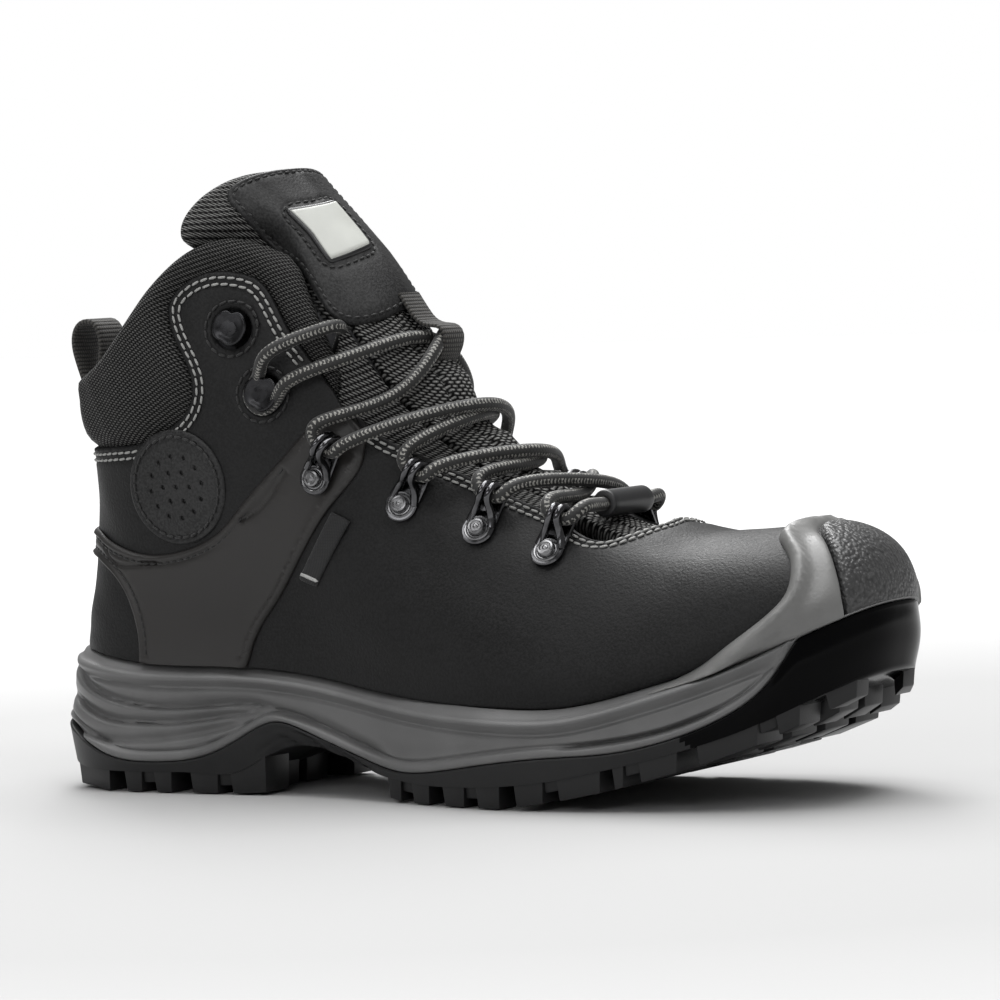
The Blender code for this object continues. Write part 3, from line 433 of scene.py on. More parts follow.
def net(outline, spacing, holes=(), guides=()):
    """A triangle net inside a flat outline: its corners, its triangles and their edge distance."""
    loops = [outline, *holes]
    spots, edges = [], []
    for loop in loops:
        start = sum(map(len, spots))
        spots.append(loop)
        edges += [(start + i, start + (i + 1) % len(loop)) for i in range(len(loop))]
    low, high = outline.min(0), outline.max(0)
    us = np.arange(low[0] // spacing, high[0] // spacing + 1) + 0.5
    vs = np.arange(low[1] // spacing, high[1] // spacing + 1) + 0.5
    grid = np.stack(np.meshgrid(us, vs), -1).reshape(-1, 2) * spacing
    rims = [moved(loop, side * gap, True) for loop in loops for gap in RIM_LANES for side in (1, -1)]
    rims += [moved(resample(guide, 1.3), gap) for guide in guides for gap in GUIDE_LANES]
    for group, clear, lines in ((np.vstack(rims), 0.3, ()), (grid, 2.2, guides)):
        good = inside(group, outline)
        for hole in holes:
            good &= ~inside(group, hole)
        group = group[good]
        gaps = [distance(group, loop) for loop in loops] + [distance(group, line, False) for line in lines]
        spots.append(group[np.min(gaps, 0) > clear])
    spots = np.vstack(spots)
    corners, _, faces, *_ = delaunay_2d_cdt([Vector(p) for p in spots], edges, [], 1, 1e-3)
    corners = np.array([tuple(c) for c in corners])
    faces = np.array([list(face) for face in faces])
    middles = corners[faces].mean(1)
    good = np.ones(len(faces), bool)
    for hole in holes:
        good &= ~inside(middles, hole)
    edge = np.min([distance(corners, loop) for loop in loops], 0)
    return corners, faces[good], edge


def even_spots(corners, middle):
    """Flat spots as true distances along the ring from a middle turn and up the shaft, in millimetres."""
    turns, ks = np.linspace(-0.5, 1.0, 601), np.linspace(0.4, TONGUE_RING, 181)
    grid = on_ring(*(a.ravel() for a in np.meshgrid(turns, ks))).reshape(len(ks), len(turns), 3)
    along = np.zeros(grid.shape[:2])
    along[:, 1:] = np.cumsum(np.linalg.norm(np.diff(grid, axis=1), axis=-1), 1)
    along -= along[:, [int(np.argmin(np.abs(turns - middle)))]]
    above = np.zeros(grid.shape[:2])
    above[1:] = np.cumsum(np.linalg.norm(np.diff(grid, axis=0), axis=-1), 0)
    turn, k = ring_of(corners)
    column = np.clip((turn - turns[0]) / (turns[1] - turns[0]), 0, len(turns) - 1.001)
    row = np.clip((k - ks[0]) / (ks[1] - ks[0]), 0, len(ks) - 1.001)
    i, j = row.astype(int), column.astype(int)
    s, t = row - i, column - j
    return np.stack([(1 - s) * ((1 - t) * a[i, j] + t * a[i, j + 1])
                     + s * ((1 - t) * a[i + 1, j] + t * a[i + 1, j + 1]) for a in (along, above)], -1)


SEAM_DEPTH, SEAM_WIDTH = 0.42, 0.75


def crease(gap, width):
    """A soft hump, 1 at no gap and fading over a width."""
    return np.exp(-(gap / width) ** 2)


def shell(name, outline, depth, material, spacing=2.4, holes=(), guides=(), relief=None, edge_round=1.2,
          edge_share=0.35, belly=None, even_from=None):
    """A closed skin between two depths, with rounded edges and its own relief, sewn down along its guides.

    With a belly, a depth inside it, both faces close in on that depth at the edge, as a pad's do.
    With even_from, a turn, its flat coordinates are true distances measured from that turn.
    """
    corners, faces, edge = net(outline, spacing, holes, guides)
    bottom, top = depth
    bottom, top = (d(corners) if callable(d) else np.full(len(corners), float(d)) for d in (bottom, top))
    ease = np.clip(edge / edge_round, 0, 1)
    share = edge_share + (1 - edge_share) * np.sqrt(1 - (1 - ease) ** 2)
    if belly is not None:
        belly = belly(corners) if callable(belly) else belly
        bottom = belly + (bottom - belly) * np.maximum(share, 0.02)
        height = belly + (top - belly) * np.maximum(share, 0.02)
    else:
        height = bottom + (top - bottom) * share
    for guide in guides:
        height -= SEAM_DEPTH * crease(distance(corners, guide, False), SEAM_WIDTH)
    if relief is not None:
        height += relief(corners, edge)
    points = np.vstack((lift(corners, bottom), lift(corners, height)))
    count = len(corners)
    ends = np.concatenate([faces[:, [0, 1]], faces[:, [1, 2]], faces[:, [2, 0]]])
    known = set(map(tuple, ends))
    rims = [(a, b, b + count, a + count) for a, b in known if (b, a) not in known]
    rims.sort()
    solid = [tuple(face + count) for face in faces] + [tuple(face[::-1]) for face in faces] + rims
    spots = corners if even_from is None else even_spots(corners, even_from)
    made = make_object(name, points, solid, material, np.vstack((spots, spots)), 180)
    return face_out(made)


def row_faces(rows, count, closed=False, caps=True):
    """Faces between matching rings of count points. Caps shut both ends; closed joins them instead."""
    faces = []
    for row in range(rows if closed else rows - 1):
        a, b = row * count, (row + 1) % rows * count
        faces += [(a + i, a + (i + 1) % count, b + (i + 1) % count, b + i) for i in range(count)]
    if caps and not closed:
        faces += [tuple(range(count))[::-1], tuple(range((rows - 1) * count, rows * count))]
    return faces


def capsule(length, radius, sides=6):
    """A short rounded rod along X: points and faces."""
    stations = [(-0.5, 0.35), (-0.42, 0.8), (-0.2, 1.0), (0.2, 1.0), (0.42, 0.8), (0.5, 0.35)]
    points = [(s * length, r * radius * math.cos(a), r * radius * math.sin(a)) for s, r in stations
              for a in circle_angles(sides)]
    return np.array(points), row_faces(len(stations), sides)


def stitches(name, lines, material, height=0.1, pitch=3.1, length=2.5, radius=0.42, slant=0.10):
    """Thread stitches along flat lines. A line may come with its own height."""
    rod, rod_faces = capsule(length, radius)
    all_points, all_faces = [], []
    for line in lines:
        line, level = line if isinstance(line, tuple) else (line, height)
        fine = resample(line, 0.4)
        run = run_along(lift(fine))
        at = np.linspace(0, run[-1], max(int(round(run[-1] / pitch)), 2) + 1)
        spots = np.stack([np.interp(at, run, fine[:, i]) for i in range(2)], -1)
        middle = (spots[:-1] + spots[1:]) / 2
        levels = level(middle) if callable(level) else np.full(len(middle), float(level))
        centre, ends = lift(middle, levels), lift(spots)
        up = outward(*ring_of(middle))
        ahead = unit(ends[1:] - ends[:-1])
        across = unit(np.cross(up, ahead))
        ahead = unit(ahead + across * slant)
        across = np.cross(up, ahead)
        for c, a, b, n in zip(centre, ahead, across, up):
            start = len(all_points) * len(rod)
            all_points.append(c + rod[:, :1] * a + rod[:, 1:2] * b + rod[:, 2:] * n)
            all_faces += [tuple(i + start for i in face) for face in rod_faces]
    return make_object(name, np.vstack(all_points), all_faces, material, None, 180)


def frames_along(line):
    """Side and up vectors along a line in space, turned as little as possible."""
    ahead = unit(np.gradient(line, axis=0))
    side = np.zeros_like(line)
    first = np.cross(ahead[0], (0, 0, 1.0))
    side[0] = unit(first if np.linalg.norm(first) > 0.1 else np.cross(ahead[0], (0, 1.0, 0)))
    for i in range(1, len(line)):
        s = side[i - 1] - ahead[i] * np.dot(side[i - 1], ahead[i])
        side[i] = s / max(np.linalg.norm(s), 1e-9)
    return side, np.cross(ahead, side)


def tube(name, line, radius, material, sides=12, profile=None):
    """A tube along a line. radius may be an array; profile scales it by angle and place."""
    side, up = frames_along(line)
    angle = circle_angles(sides)
    reach = np.broadcast_to(np.reshape(radius, (-1, 1)), (len(line), sides)).copy()
    if profile is not None:
        reach *= profile(run_along(line)[:, None], angle[None, :])
    points = (line[:, None] + side[:, None] * (reach * np.cos(angle))[..., None]
              + up[:, None] * (reach * np.sin(angle))[..., None]).reshape(-1, 3)
    return face_out(make_object(name, points, row_faces(len(line), sides), material, None, 60))


def strap(name, line, across, width, thickness, material, rounding=0.35):
    """A webbing strap along a line in space, its width along one vector."""
    up = unit(np.cross(unit(np.gradient(line, axis=0)), across))
    run = run_along(line)
    half = width / 2
    section = [(-half, -.3), (-half + rounding, -.5), (0, -.5), (half - rounding, -.5), (half, -.3),
               (half, .3), (half - rounding, .5), (half * .5, .5), (0, .5), (-half * .5, .5),
               (-half + rounding, .5), (-half, .3)]
    points, uv = [], []
    for w, h in section:
        points.append(line + across * w + up * h * thickness)
        uv.append(np.stack((np.full(len(line), w), run), -1))
    points, uv = (np.stack(rows, 1).reshape(-1, size) for rows, size in ((points, 3), (uv, 2)))
    return face_out(make_object(name, points, row_faces(len(line), len(section)), material, uv, 60))


class Seat:
    """A frame on one side of the upper: up points out of it, ahead along it, across completes them."""

    def __init__(self, x, z, side, aim, lift=0.0):
        self.up = normal_at(x, z, side)
        self.spot = on_side(x, z, side) + self.up * lift
        ahead = on_side(x + aim[0] * 0.3, z + aim[1] * 0.3, side) - on_side(x, z, side)
        self.ahead = unit(ahead - self.up * np.dot(ahead, self.up))
        self.across = np.cross(self.up, self.ahead)

    def at(self, ahead, across, up):
        return self.spot + self.ahead * ahead + self.across * across + self.up * up


def lathe(name, seat, profile, material, sides):
    """A solid turned about a seat's normal from pairs of radius and height."""
    points = [seat.at(r * np.cos(a), r * np.sin(a), height) for r, height in profile[1:-1]
              for a in circle_angles(sides)]
    points += [seat.at(0, 0, profile[0][1]), seat.at(0, 0, profile[-1][1])]
    rings = len(profile) - 2
    faces = row_faces(rings, sides, caps=False)
    faces += [((j + 1) % sides, j, rings * sides) for j in range(sides)]
    top = (rings - 1) * sides
    faces += [(top + j, top + (j + 1) % sides, rings * sides + 1) for j in range(sides)]
    return face_out(make_object(name, points, faces, material, None, 40))


def join(name, things):
    """Several mesh objects as one named piece."""
    work = bmesh.new()
    for thing in things:
        work.from_mesh(thing.data)
    mesh = things[0].data
    work.to_mesh(mesh)
    work.free()
    for thing in things[1:]:
        bpy.data.objects.remove(thing, do_unlink=True)
    things[0].name = name
    mesh.name = name
    return things[0]


# ---------------------------------------------------------------- materials

class Finish:
    """A material's node tree with short names for the nodes it needs."""

    def __init__(self, name, colour, roughness, metallic=0.0, **sockets):
        self.material = bpy.data.materials.new(name)
        self.material.use_nodes = True
        self.tree = self.material.node_tree
        self.shader = self.tree.nodes["Principled BSDF"]
        self.shader.inputs["Base Color"].default_value = (*colour, 1)
        self.shader.inputs["Roughness"].default_value = roughness
        self.shader.inputs["Metallic"].default_value = metallic
        for key, value in sockets.items():
            self.shader.inputs[key.replace("_", " ")].default_value = value
        self.normal = None

    def node(self, kind, inputs=(), **settings):
        made = self.tree.nodes.new(kind)
        for key, value in settings.items():
            setattr(made, key, value)
        for key, value in dict(inputs).items():
            if isinstance(value, bpy.types.NodeSocket):
                self.tree.links.new(value, made.inputs[key])
            else:
                made.inputs[key].default_value = value
        return made

    def place(self):
        """The point in the frame, in metres, from the mesh itself."""
        return self.node("ShaderNodeTexCoord").outputs["Object"]

    def flat(self, size, turn=0.0):
        """Flat surface coordinates, in units of size millimetres."""
        uv = self.node("ShaderNodeUVMap", uv_map="flat").outputs["UV"]
        scale = tuple(1000 / s for s in size) + (1,)
        return self.node("ShaderNodeMapping",
                         {"Vector": uv, "Scale": scale, "Rotation": (0, 0, turn)}).outputs["Vector"]

    def noise(self, size, detail=3.0, rough=0.5):
        return self.node("ShaderNodeTexNoise", {"Vector": self.place(), "Scale": 1000 / size,
                                                 "Detail": detail, "Roughness": rough}).outputs[0]

    def cells(self, size, feature="F1"):
        return self.node("ShaderNodeTexVoronoi", {"Vector": self.place(), "Scale": 1000 / size},
                         feature=feature).outputs["Distance"]

    def ramp(self, value, low, high, to=(0.0, 1.0)):
        return self.node("ShaderNodeMapRange", {"Value": value, "From Min": low, "From Max": high,
                                                 "To Min": to[0], "To Max": to[1]}).outputs["Result"]

    def sum(self, a, b, kind="ADD"):
        return self.node("ShaderNodeMath", {0: a, 1: b}, operation=kind).outputs[0]

    def tint(self, value, low, high):
        """Colours the base between two shades by a value from 0 to 1."""
        mixed = self.node("ShaderNodeMix", {"Factor": value, 6: (*low, 1), 7: (*high, 1)}, data_type="RGBA")
        self.tree.links.new(mixed.outputs[2], self.shader.inputs["Base Color"])

    def rough(self, value, low, high):
        self.tree.links.new(self.ramp(value, 0, 1, (low, high)), self.shader.inputs["Roughness"])

    def bump(self, height, strength, depth):
        """Adds relief of a depth in millimetres from a height between 0 and 1."""
        inputs = {"Height": height, "Strength": strength, "Distance": depth * MM}
        if self.normal is not None:
            inputs["Normal"] = self.normal
        self.normal = self.node("ShaderNodeBump", inputs).outputs["Normal"]
        self.tree.links.new(self.normal, self.shader.inputs["Normal"])


LEATHER_GLOSS = 0.23


def shade(colour, share):
    return tuple(c * share for c in colour)


def leather(name, colour, roughness, grain=1.1, depth=0.10):
    f = Finish(name, colour, roughness, Specular_IOR_Level=LEATHER_GLOSS)
    cloud, pore = f.noise(38, 4), f.cells(grain)
    fine = f.noise(0.8, 2, rough=0.6)
    wear = f.sum(f.ramp(cloud, 0.35, 0.65, (0.0, 0.4)), f.ramp(fine, 0.38, 0.64, (0.0, 0.8)))
    f.tint(wear, shade(colour, 0.5), tuple(c * 1.7 + 0.002 for c in colour))
    f.rough(f.ramp(f.sum(cloud, fine), 0.7, 1.3), roughness - 0.07, roughness + 0.08)
    f.bump(f.noise(9, 3), 0.35, 0.35)
    f.bump(pore, 0.5, depth)
    f.bump(fine, 0.8, depth * 2.0)
    return f.material


def moulded(name, colour, roughness, texture=0.6, depth=0.05, gloss=0.5):
    f = Finish(name, colour, roughness, Specular_IOR_Level=gloss)
    cloud, fine = f.noise(24, 4), f.noise(texture, 2)
    f.tint(f.ramp(cloud, 0.3, 0.7), shade(colour, 0.85), shade(colour, 1.15))
    f.rough(f.ramp(cloud, 0.3, 0.7), roughness - 0.05, roughness + 0.06)
    f.bump(fine, 0.5, depth)
    return f.material


def pebbled(name, colour, roughness, size=1.5, depth=0.35):
    f = Finish(name, colour, roughness)
    cell, cloud = f.cells(size, "SMOOTH_F1"), f.noise(20, 3)
    # painted highlight on the pebbles' tops and painted shade in the gaps between them: the colour follows
    # the cells of the relief
    f.tint(f.ramp(cell, 0.1, 0.75), shade(colour, 1.25), shade(colour, 0.5))
    f.rough(f.ramp(cloud, 0.3, 0.7), roughness - 0.05, roughness + 0.08)
    f.bump(f.ramp(cell, 0.1, 0.8, (1.0, 0.0)), 1.0, depth)
    f.bump(f.noise(0.5, 2), 0.4, 0.05)
    return f.material


def mesh_cloth(name, dark, light, size=(2.3, 1.25), depth=0.6):
    """Coarse woven mesh: rows of rounded grains, each row shifted by half a grain."""
    f = Finish(name, dark, 0.6, Specular_IOR_Level=0.12)
    spot = f.node("ShaderNodeSeparateXYZ", {0: f.flat(size, 0.12)})
    row = f.sum(f.sum(spot.outputs["Y"], 0.0, "FLOOR"), 0.5, "MULTIPLY")
    along = f.sum(f.sum(f.sum(spot.outputs["X"], row), 0.0, "FRACT"), math.pi, "MULTIPLY")
    across = f.sum(f.sum(spot.outputs["Y"], 0.0, "FRACT"), math.pi, "MULTIPLY")
    grain = f.sum(f.sum(along, 0.0, "SINE"), f.sum(across, 0.0, "SINE"), "MULTIPLY")
    fibre = f.noise(0.5, 2)
    # painted highlight on the grains' tops and painted shade in the gaps between them: the colour runs from
    # dark to light with the grains' relief
    f.tint(f.sum(f.ramp(grain, 0.25, 0.9), f.ramp(fibre, 0.3, 0.7, (0.45, 1.15)), "MULTIPLY"), dark, light)
    f.bump(grain, 1.0, depth)
    f.bump(fibre, 0.5, 0.08)
    return f.material


def webbing(name, colour, size=(1.1, 1.3), depth=0.35, light=2.0):
    """A ribbed woven tape: ribs across its length, each one a row of threads."""
    f = Finish(name, colour, 0.8, Sheen_Weight=0.1, Sheen_Roughness=0.5)
    spot = f.node("ShaderNodeSeparateXYZ", {0: f.flat(size)})
    across, run = spot.outputs["X"], spot.outputs["Y"]
    shifted = f.sum(f.sum(across, f.sum(f.sum(run, 0.0, "FLOOR"), 0.5, "MULTIPLY")), math.pi, "MULTIPLY")
    rib = f.sum(f.sum(f.sum(run, math.pi, "MULTIPLY"), 0.0, "SINE"), 0.0, "ABSOLUTE")
    bead = f.sum(f.sum(shifted, 0.0, "SINE"), 0.0, "ABSOLUTE")
    lump = f.sum(rib, f.ramp(bead, 0.0, 1.0, (0.45, 1.0)), "MULTIPLY")
    # painted highlight on the ribs' threads and painted shade between them: the colour follows the same
    # relief as the bump
    f.tint(f.ramp(lump, 0.2, 0.95), shade(colour, 0.35), shade(colour, light))
    f.bump(lump, 0.9, depth)
    f.bump(f.noise(0.35, 2), 0.4, 0.06)
    return f.material


def knit(name, colour, size=1.4, depth=0.25):
    f = Finish(name, colour, 0.9, Sheen_Weight=0.15, Sheen_Roughness=0.6)
    cell, fine = f.cells(size), f.noise(0.5, 3)
    f.tint(f.ramp(f.sum(cell, fine), 0.3, 1.2), shade(colour, 0.6), shade(colour, 1.4))
    f.bump(cell, 0.6, depth)
    f.bump(fine, 0.6, 0.12)
    return f.material


def thread(name, colour):
    f = Finish(name, colour, 0.6, Sheen_Weight=0.15)
    fine = f.noise(0.5, 2)
    f.tint(fine, shade(colour, 0.6), tuple(min(c * 1.3, 1) for c in colour))
    f.bump(fine, 0.6, 0.08)
    return f.material


def metal(name, colour, roughness):
    f = Finish(name, colour, roughness, 1.0)
    cloud = f.noise(2.5, 4)
    f.tint(f.ramp(cloud, 0.35, 0.7), shade(colour, 0.8), shade(colour, 1.2))
    f.rough(f.ramp(cloud, 0.3, 0.7), roughness - 0.05, roughness + 0.10)
    f.bump(f.noise(0.7, 3), 0.15, 0.03)
    return f.material


LEATHER = leather("waxed_leather", (0.0058, 0.0058, 0.0060), 0.52)
# the patches' leather: its own lighter tone, made lighter still with painted light that makes up for the
# shade the tongue patch sits in
PATCH_LEATHER = leather("patch_leather", (0.0175, 0.0175, 0.0177), 0.50, 0.9, 0.08)
COATED = moulded("coated_leather", (0.0135, 0.0120, 0.0112), 0.44, 0.45, 0.05)
# mesh tones: the light one is painted highlight on the grains, the dark one painted shade in their gaps
COLLAR_MESH = mesh_cloth("woven_collar_mesh", (0.0016, 0.0016, 0.0017), (0.135, 0.134, 0.130), (1.55, 0.95))
MESH = mesh_cloth("woven_mesh", (0.0018, 0.0018, 0.0019), (0.30, 0.298, 0.290))
LINING = knit("brushed_lining", (0.075, 0.075, 0.080))
POLYURETHANE = moulded("midsole_foam_rubber", (0.118, 0.118, 0.118), 0.42, 0.8, 0.09, 0.65)
WRAP = moulded("toe_wrap_rubber", (0.145, 0.145, 0.142), 0.40, 0.9, 0.16, 0.6)
RUBBER = moulded("outsole_rubber", (0.0175, 0.0175, 0.0180), 0.42, 1.0, 0.06, gloss=0.25)
BUMPER = moulded("bumper_rubber", (0.0022, 0.0022, 0.0024), 0.16, 6.0, 0.05, gloss=0.05)
PEBBLE = pebbled("pebbled_rubber", (0.046, 0.046, 0.0465), 0.40, 1.15, 0.45)
NICKEL = metal("black_nickel", (0.095, 0.095, 0.099), 0.13)
RIVET_STEEL = metal("rivet_steel", (0.22, 0.22, 0.225), 0.24)
PAINTED = metal("black_painted_metal", (0.036, 0.036, 0.038), 0.26)
GREY_THREAD = thread("grey_thread", (0.30, 0.30, 0.29))
BLACK_THREAD = thread("black_thread", (0.006, 0.006, 0.006))
# the tape's ribs carry painted highlight and painted shade, up to 3.6 times its colour
WEBBING = webbing("woven_tape", (0.0140, 0.0130, 0.0115), (1.2, 1.35), 0.45, 3.6)
BRAID = thread("lace_thread", (0.0090, 0.0087, 0.0081))
FLECK = thread("lace_fleck", (0.27, 0.265, 0.245))
LABEL_FACE = moulded("label_face", (0.46, 0.47, 0.44), 0.38, 0.5, 0.03)
LABEL_FRAME = moulded("label_frame", (0.010, 0.010, 0.011), 0.35, 0.5, 0.03)
# the tab's ribs carry painted highlight and painted shade too
TAB = webbing("side_tab_weave", (0.009, 0.009, 0.0095), (0.8, 0.5), 0.15)
TAB_LIGHT = thread("side_tab_edge", (0.42, 0.42, 0.41))
INSOLE = knit("footbed_knit", (0.060, 0.061, 0.066), 1.0, 0.2)
FOAM = knit("ankle_foam", (0.21, 0.20, 0.17), 0.7, 0.15)
SPRING_STEEL = metal("spring_steel", (0.42, 0.42, 0.43), 0.32)
FIBRE_BOARD = moulded("fibre_board", (0.33, 0.25, 0.16), 0.8, 0.9, 0.1, 0.2)
SOFT_TAG = moulded("soft_tag", (0.014, 0.014, 0.015), 0.38, 0.5, 0.04)


# ---------------------------------------------------------------- camera, light and floor

CAMERA_TURN, CAMERA_RISE, CAMERA_ROLL = 32.0, 3.0, 2.3  # degrees
CAMERA_DISTANCE = 1500.0
CAMERA_LENS = 170.28
CAMERA_TARGET = np.array((165.0, 3.7, 91.5))
SKY_LIGHT, SKY_SEEN = 0.26, 1.0
# the floor's tone near the boot, darkened with painted shade, and its plain tone far off
FLOOR_SHADED_NEAR, FLOOR_FAR = 0.45, 0.95
FLOOR_REACH, FLOOR_HEIGHT = 6000, -0.4
# name, place and aim in metres, size in metres, power in watts
SOFT_LIGHTS = [
    ("toe_light", (0.55, -0.35, 1.05), (0.12, 0, 0.06), (0.45, 0.55), 3.4),
    ("side_light", (0.1, -1.25, 0.6), (0.03, 0, 0.06), (1.1, 0.25), 3),
    ("tongue_light", (-0.4, -0.45, 0.8), (-0.06, 0, 0.19), (0.3, 0.3), 1.1),
    ("back_light", (-0.58, 0.7, 1.1), (-0.05, 0, 0.12), (0.5, 0.8), 12),
]


def make_camera():
    turn, rise, roll = (math.radians(a) for a in (CAMERA_TURN, CAMERA_RISE, CAMERA_ROLL))
    back = np.array((math.sin(turn) * math.cos(rise), -math.cos(turn) * math.cos(rise), math.sin(rise)))
    right = np.array((math.cos(turn), math.sin(turn), 0.0))
    up = np.cross(back, right)
    across = right * math.cos(roll) - up * math.sin(roll)
    over = up * math.cos(roll) + right * math.sin(roll)
    data = bpy.data.cameras.new("camera")
    data.lens, data.sensor_width = CAMERA_LENS, 36.0
    data.clip_end = 20.0
    camera = bpy.data.objects.new("camera", data)
    spot = world(CAMERA_TARGET + back * CAMERA_DISTANCE)
    rows = [(*row, s) for row, s in zip(np.stack((across, over, back), 1), spot)]
    camera.matrix_world = Matrix(rows + [(0, 0, 0, 1)])
    bpy.context.scene.collection.objects.link(camera)
    bpy.context.scene.camera = camera


def make_lamp(name, kind, way, spot=(0, 0, 0)):
    """A lamp at a spot, in metres, that shines one way. Returns its light."""
    light = bpy.data.lights.new(name, kind)
    lamp = bpy.data.objects.new(name, light)
    lamp.location = spot
    lamp.rotation_euler = Vector(way).to_track_quat("-Z", "Y").to_euler()
    bpy.context.scene.collection.objects.link(lamp)
    return light


def make_floor():
    """Pale paper, darker round the boot with painted shade that tones down the lamps' pool of light there and
    deepens the boot's shadow.
    """
    paper = Finish("floor_paper", (FLOOR_FAR,) * 3, 0.9, Specular_IOR_Level=0.1)
    reach = paper.node("ShaderNodeVectorMath", {0: paper.place()}, operation="LENGTH").outputs["Value"]
    # painted shade round the boot: darker near it, plain pale paper further off
    paper.tint(paper.ramp(reach, 0.35, 1.6), (FLOOR_SHADED_NEAR,) * 3, (FLOOR_FAR,) * 3)
    corners = [(x * FLOOR_REACH, y * FLOOR_REACH, FLOOR_HEIGHT)
               for x, y in ((-1, -1), (1, -1), (1, 1), (-1, 1))]
    floor = make_object("floor", corners, [(0, 1, 2, 3)], paper.material, None, 180)


def make_studio():
    sky = bpy.data.worlds.new("studio")
    sky.use_nodes = True
    nodes, links = sky.node_tree.nodes, sky.node_tree.links
    glow = nodes["Background"]
    glow.inputs["Color"].default_value = (1, 1, 1, 1)
    seen = nodes.new("ShaderNodeLightPath").outputs["Is Camera Ray"]
    strength = nodes.new("ShaderNodeMapRange")
    strength.inputs["To Min"].default_value, strength.inputs["To Max"].default_value = SKY_LIGHT, SKY_SEEN
    links.new(seen, strength.inputs["Value"])
    links.new(strength.outputs["Result"], glow.inputs["Strength"])
    bpy.context.scene.world = sky
    sun = make_lamp("overhead_light", "SUN", (0.05, -0.15, -1))
    sun.energy, sun.angle = 2.9, math.radians(50)
    for name, spot, aim, size, power in SOFT_LIGHTS:
        light = make_lamp(name, "AREA", Vector(aim) - Vector(spot), spot)
        light.shape = "RECTANGLE"
        light.size, light.size_y = size
        light.energy = power
    bpy.context.scene.view_settings.view_transform = "Standard"
    bpy.context.scene.view_settings.look = "None"


make_camera()
make_floor()
make_studio()


# ---------------------------------------------------------------- sole

# the line between midsole and outsole, which climbs over the toe to the upper
split_line = curve([0, 20, 35, 55, 76, 89, 100, 112, 137, 150, 171, 199, 217, 232, 248, 260, 269, 277, 282,
                    286, 289, 292, 306],
                   [24, 18.5, 12, 10, 13, 19, 23.5, 21, 13, 10, 11, 15, 16.6, 17.8, 21, 25, 29.3, 35, 41,
                    48, 53, 56.5, 64])
SOLE_TOE_REACH = 66.0
LEDGE = 0.9  # the split line stays this far below the upper
BUMPER_START = 254.0
WALL_COLUMNS = 420
# side-view lines of grooves and ribs, as x and z
SIDE_GROOVES = [
    [(-6, 41), (8, 40), (20, 35.5), (36, 30.1), (54, 27.2), (81, 28.2), (98, 27.0), (116, 23.4), (135, 17.3),
     (150, 14)],
    [(-6, 31), (8, 30.5), (22, 26.9), (35, 23.5), (58, 22.3), (85, 24.9), (98, 24.9)],
    [(-6, 22.5), (8, 21.5), (24, 18.7), (37, 16.7), (54, 17.0), (76, 19.9), (93, 23.2)],
]
GROOVE_DEPTH = (2.1, 2.3, 2.0)
# rows of the midsole's lip against the upper: rise, then inset at the side and at the heel
LIP = [(0.5, 3.2, 5.9), (1.6, 4.6, 6.5), (2.4, 6.2, 7.7), (1.6, 6.9, 9.4), (-1.0, 7.5, 9.6)]
TOE_GROOVES = [[(215, 19.2), (225, 20.4), (240, 22.8), (255, 26.6), (270, 33.0)],
               [(259, 39.2), (263, 41.0), (272, 44.6), (286, 51.4)]]
ARCH_RIBS = [((95, 15.5), (104, 8.8)), ((102, 18.4), (111, 11.4)), ((111, 19.6), (120, 12.0)),
             ((119.5, 18.6), (129, 11.0)), ((126, 16.2), (136, 9.4))]


def split_at(x):
    return np.minimum(split_line(x), feather(x) - LEDGE)


def sole_half(x, inset, side):
    """Half the width of the sole in plan, measured from its mid line."""
    width = np.where(side < 0, sole_lateral(x), sole_medial(x)) - inset
    heel = np.clip((SOLE_BACK + inset + HEEL_REACH - x) / HEEL_REACH, 0, 1)
    toe = np.clip((x - LENGTH + inset + SOLE_TOE_REACH) / SOLE_TOE_REACH, 0, 1)
    return width * blunt(heel, HEEL_POWER) * blunt(toe, TOE_POWER)


def round_plan(count):
    """Places round the boot in plan: each one's side, and its share of the length from heel to toe."""
    step = np.arange(count)
    return np.where(step <= count // 2, LATERAL, MEDIAL), (1 - np.cos(2 * np.pi * step / count)) / 2


def wall_ring(height, inset):
    """A ring round the sole. inset is a number or a function of x and z."""
    side, share = round_plan(WALL_COLUMNS)
    x = mix(SOLE_BACK, LENGTH, share)
    depth = inset(x, height(x)) if callable(inset) else inset
    x = mix(SOLE_BACK + depth, LENGTH - depth, share)
    return np.stack((x, mid_line(x) + side * sole_half(x, depth, side), height(x)), -1)


def line_gap(x, z, line, fade=6.0):
    """Distance from a side-view line at points x, z, and how much of it is there."""
    spots = smooth(line, 1.5) if len(line) > 2 else resample(line, 1.5)
    points = np.stack((x, z), -1)
    gap = distance(points, spots, False)
    ends = np.clip(np.minimum(x - spots[0, 0], spots[-1, 0] - x) / fade, 0, 1)
    return gap, ends


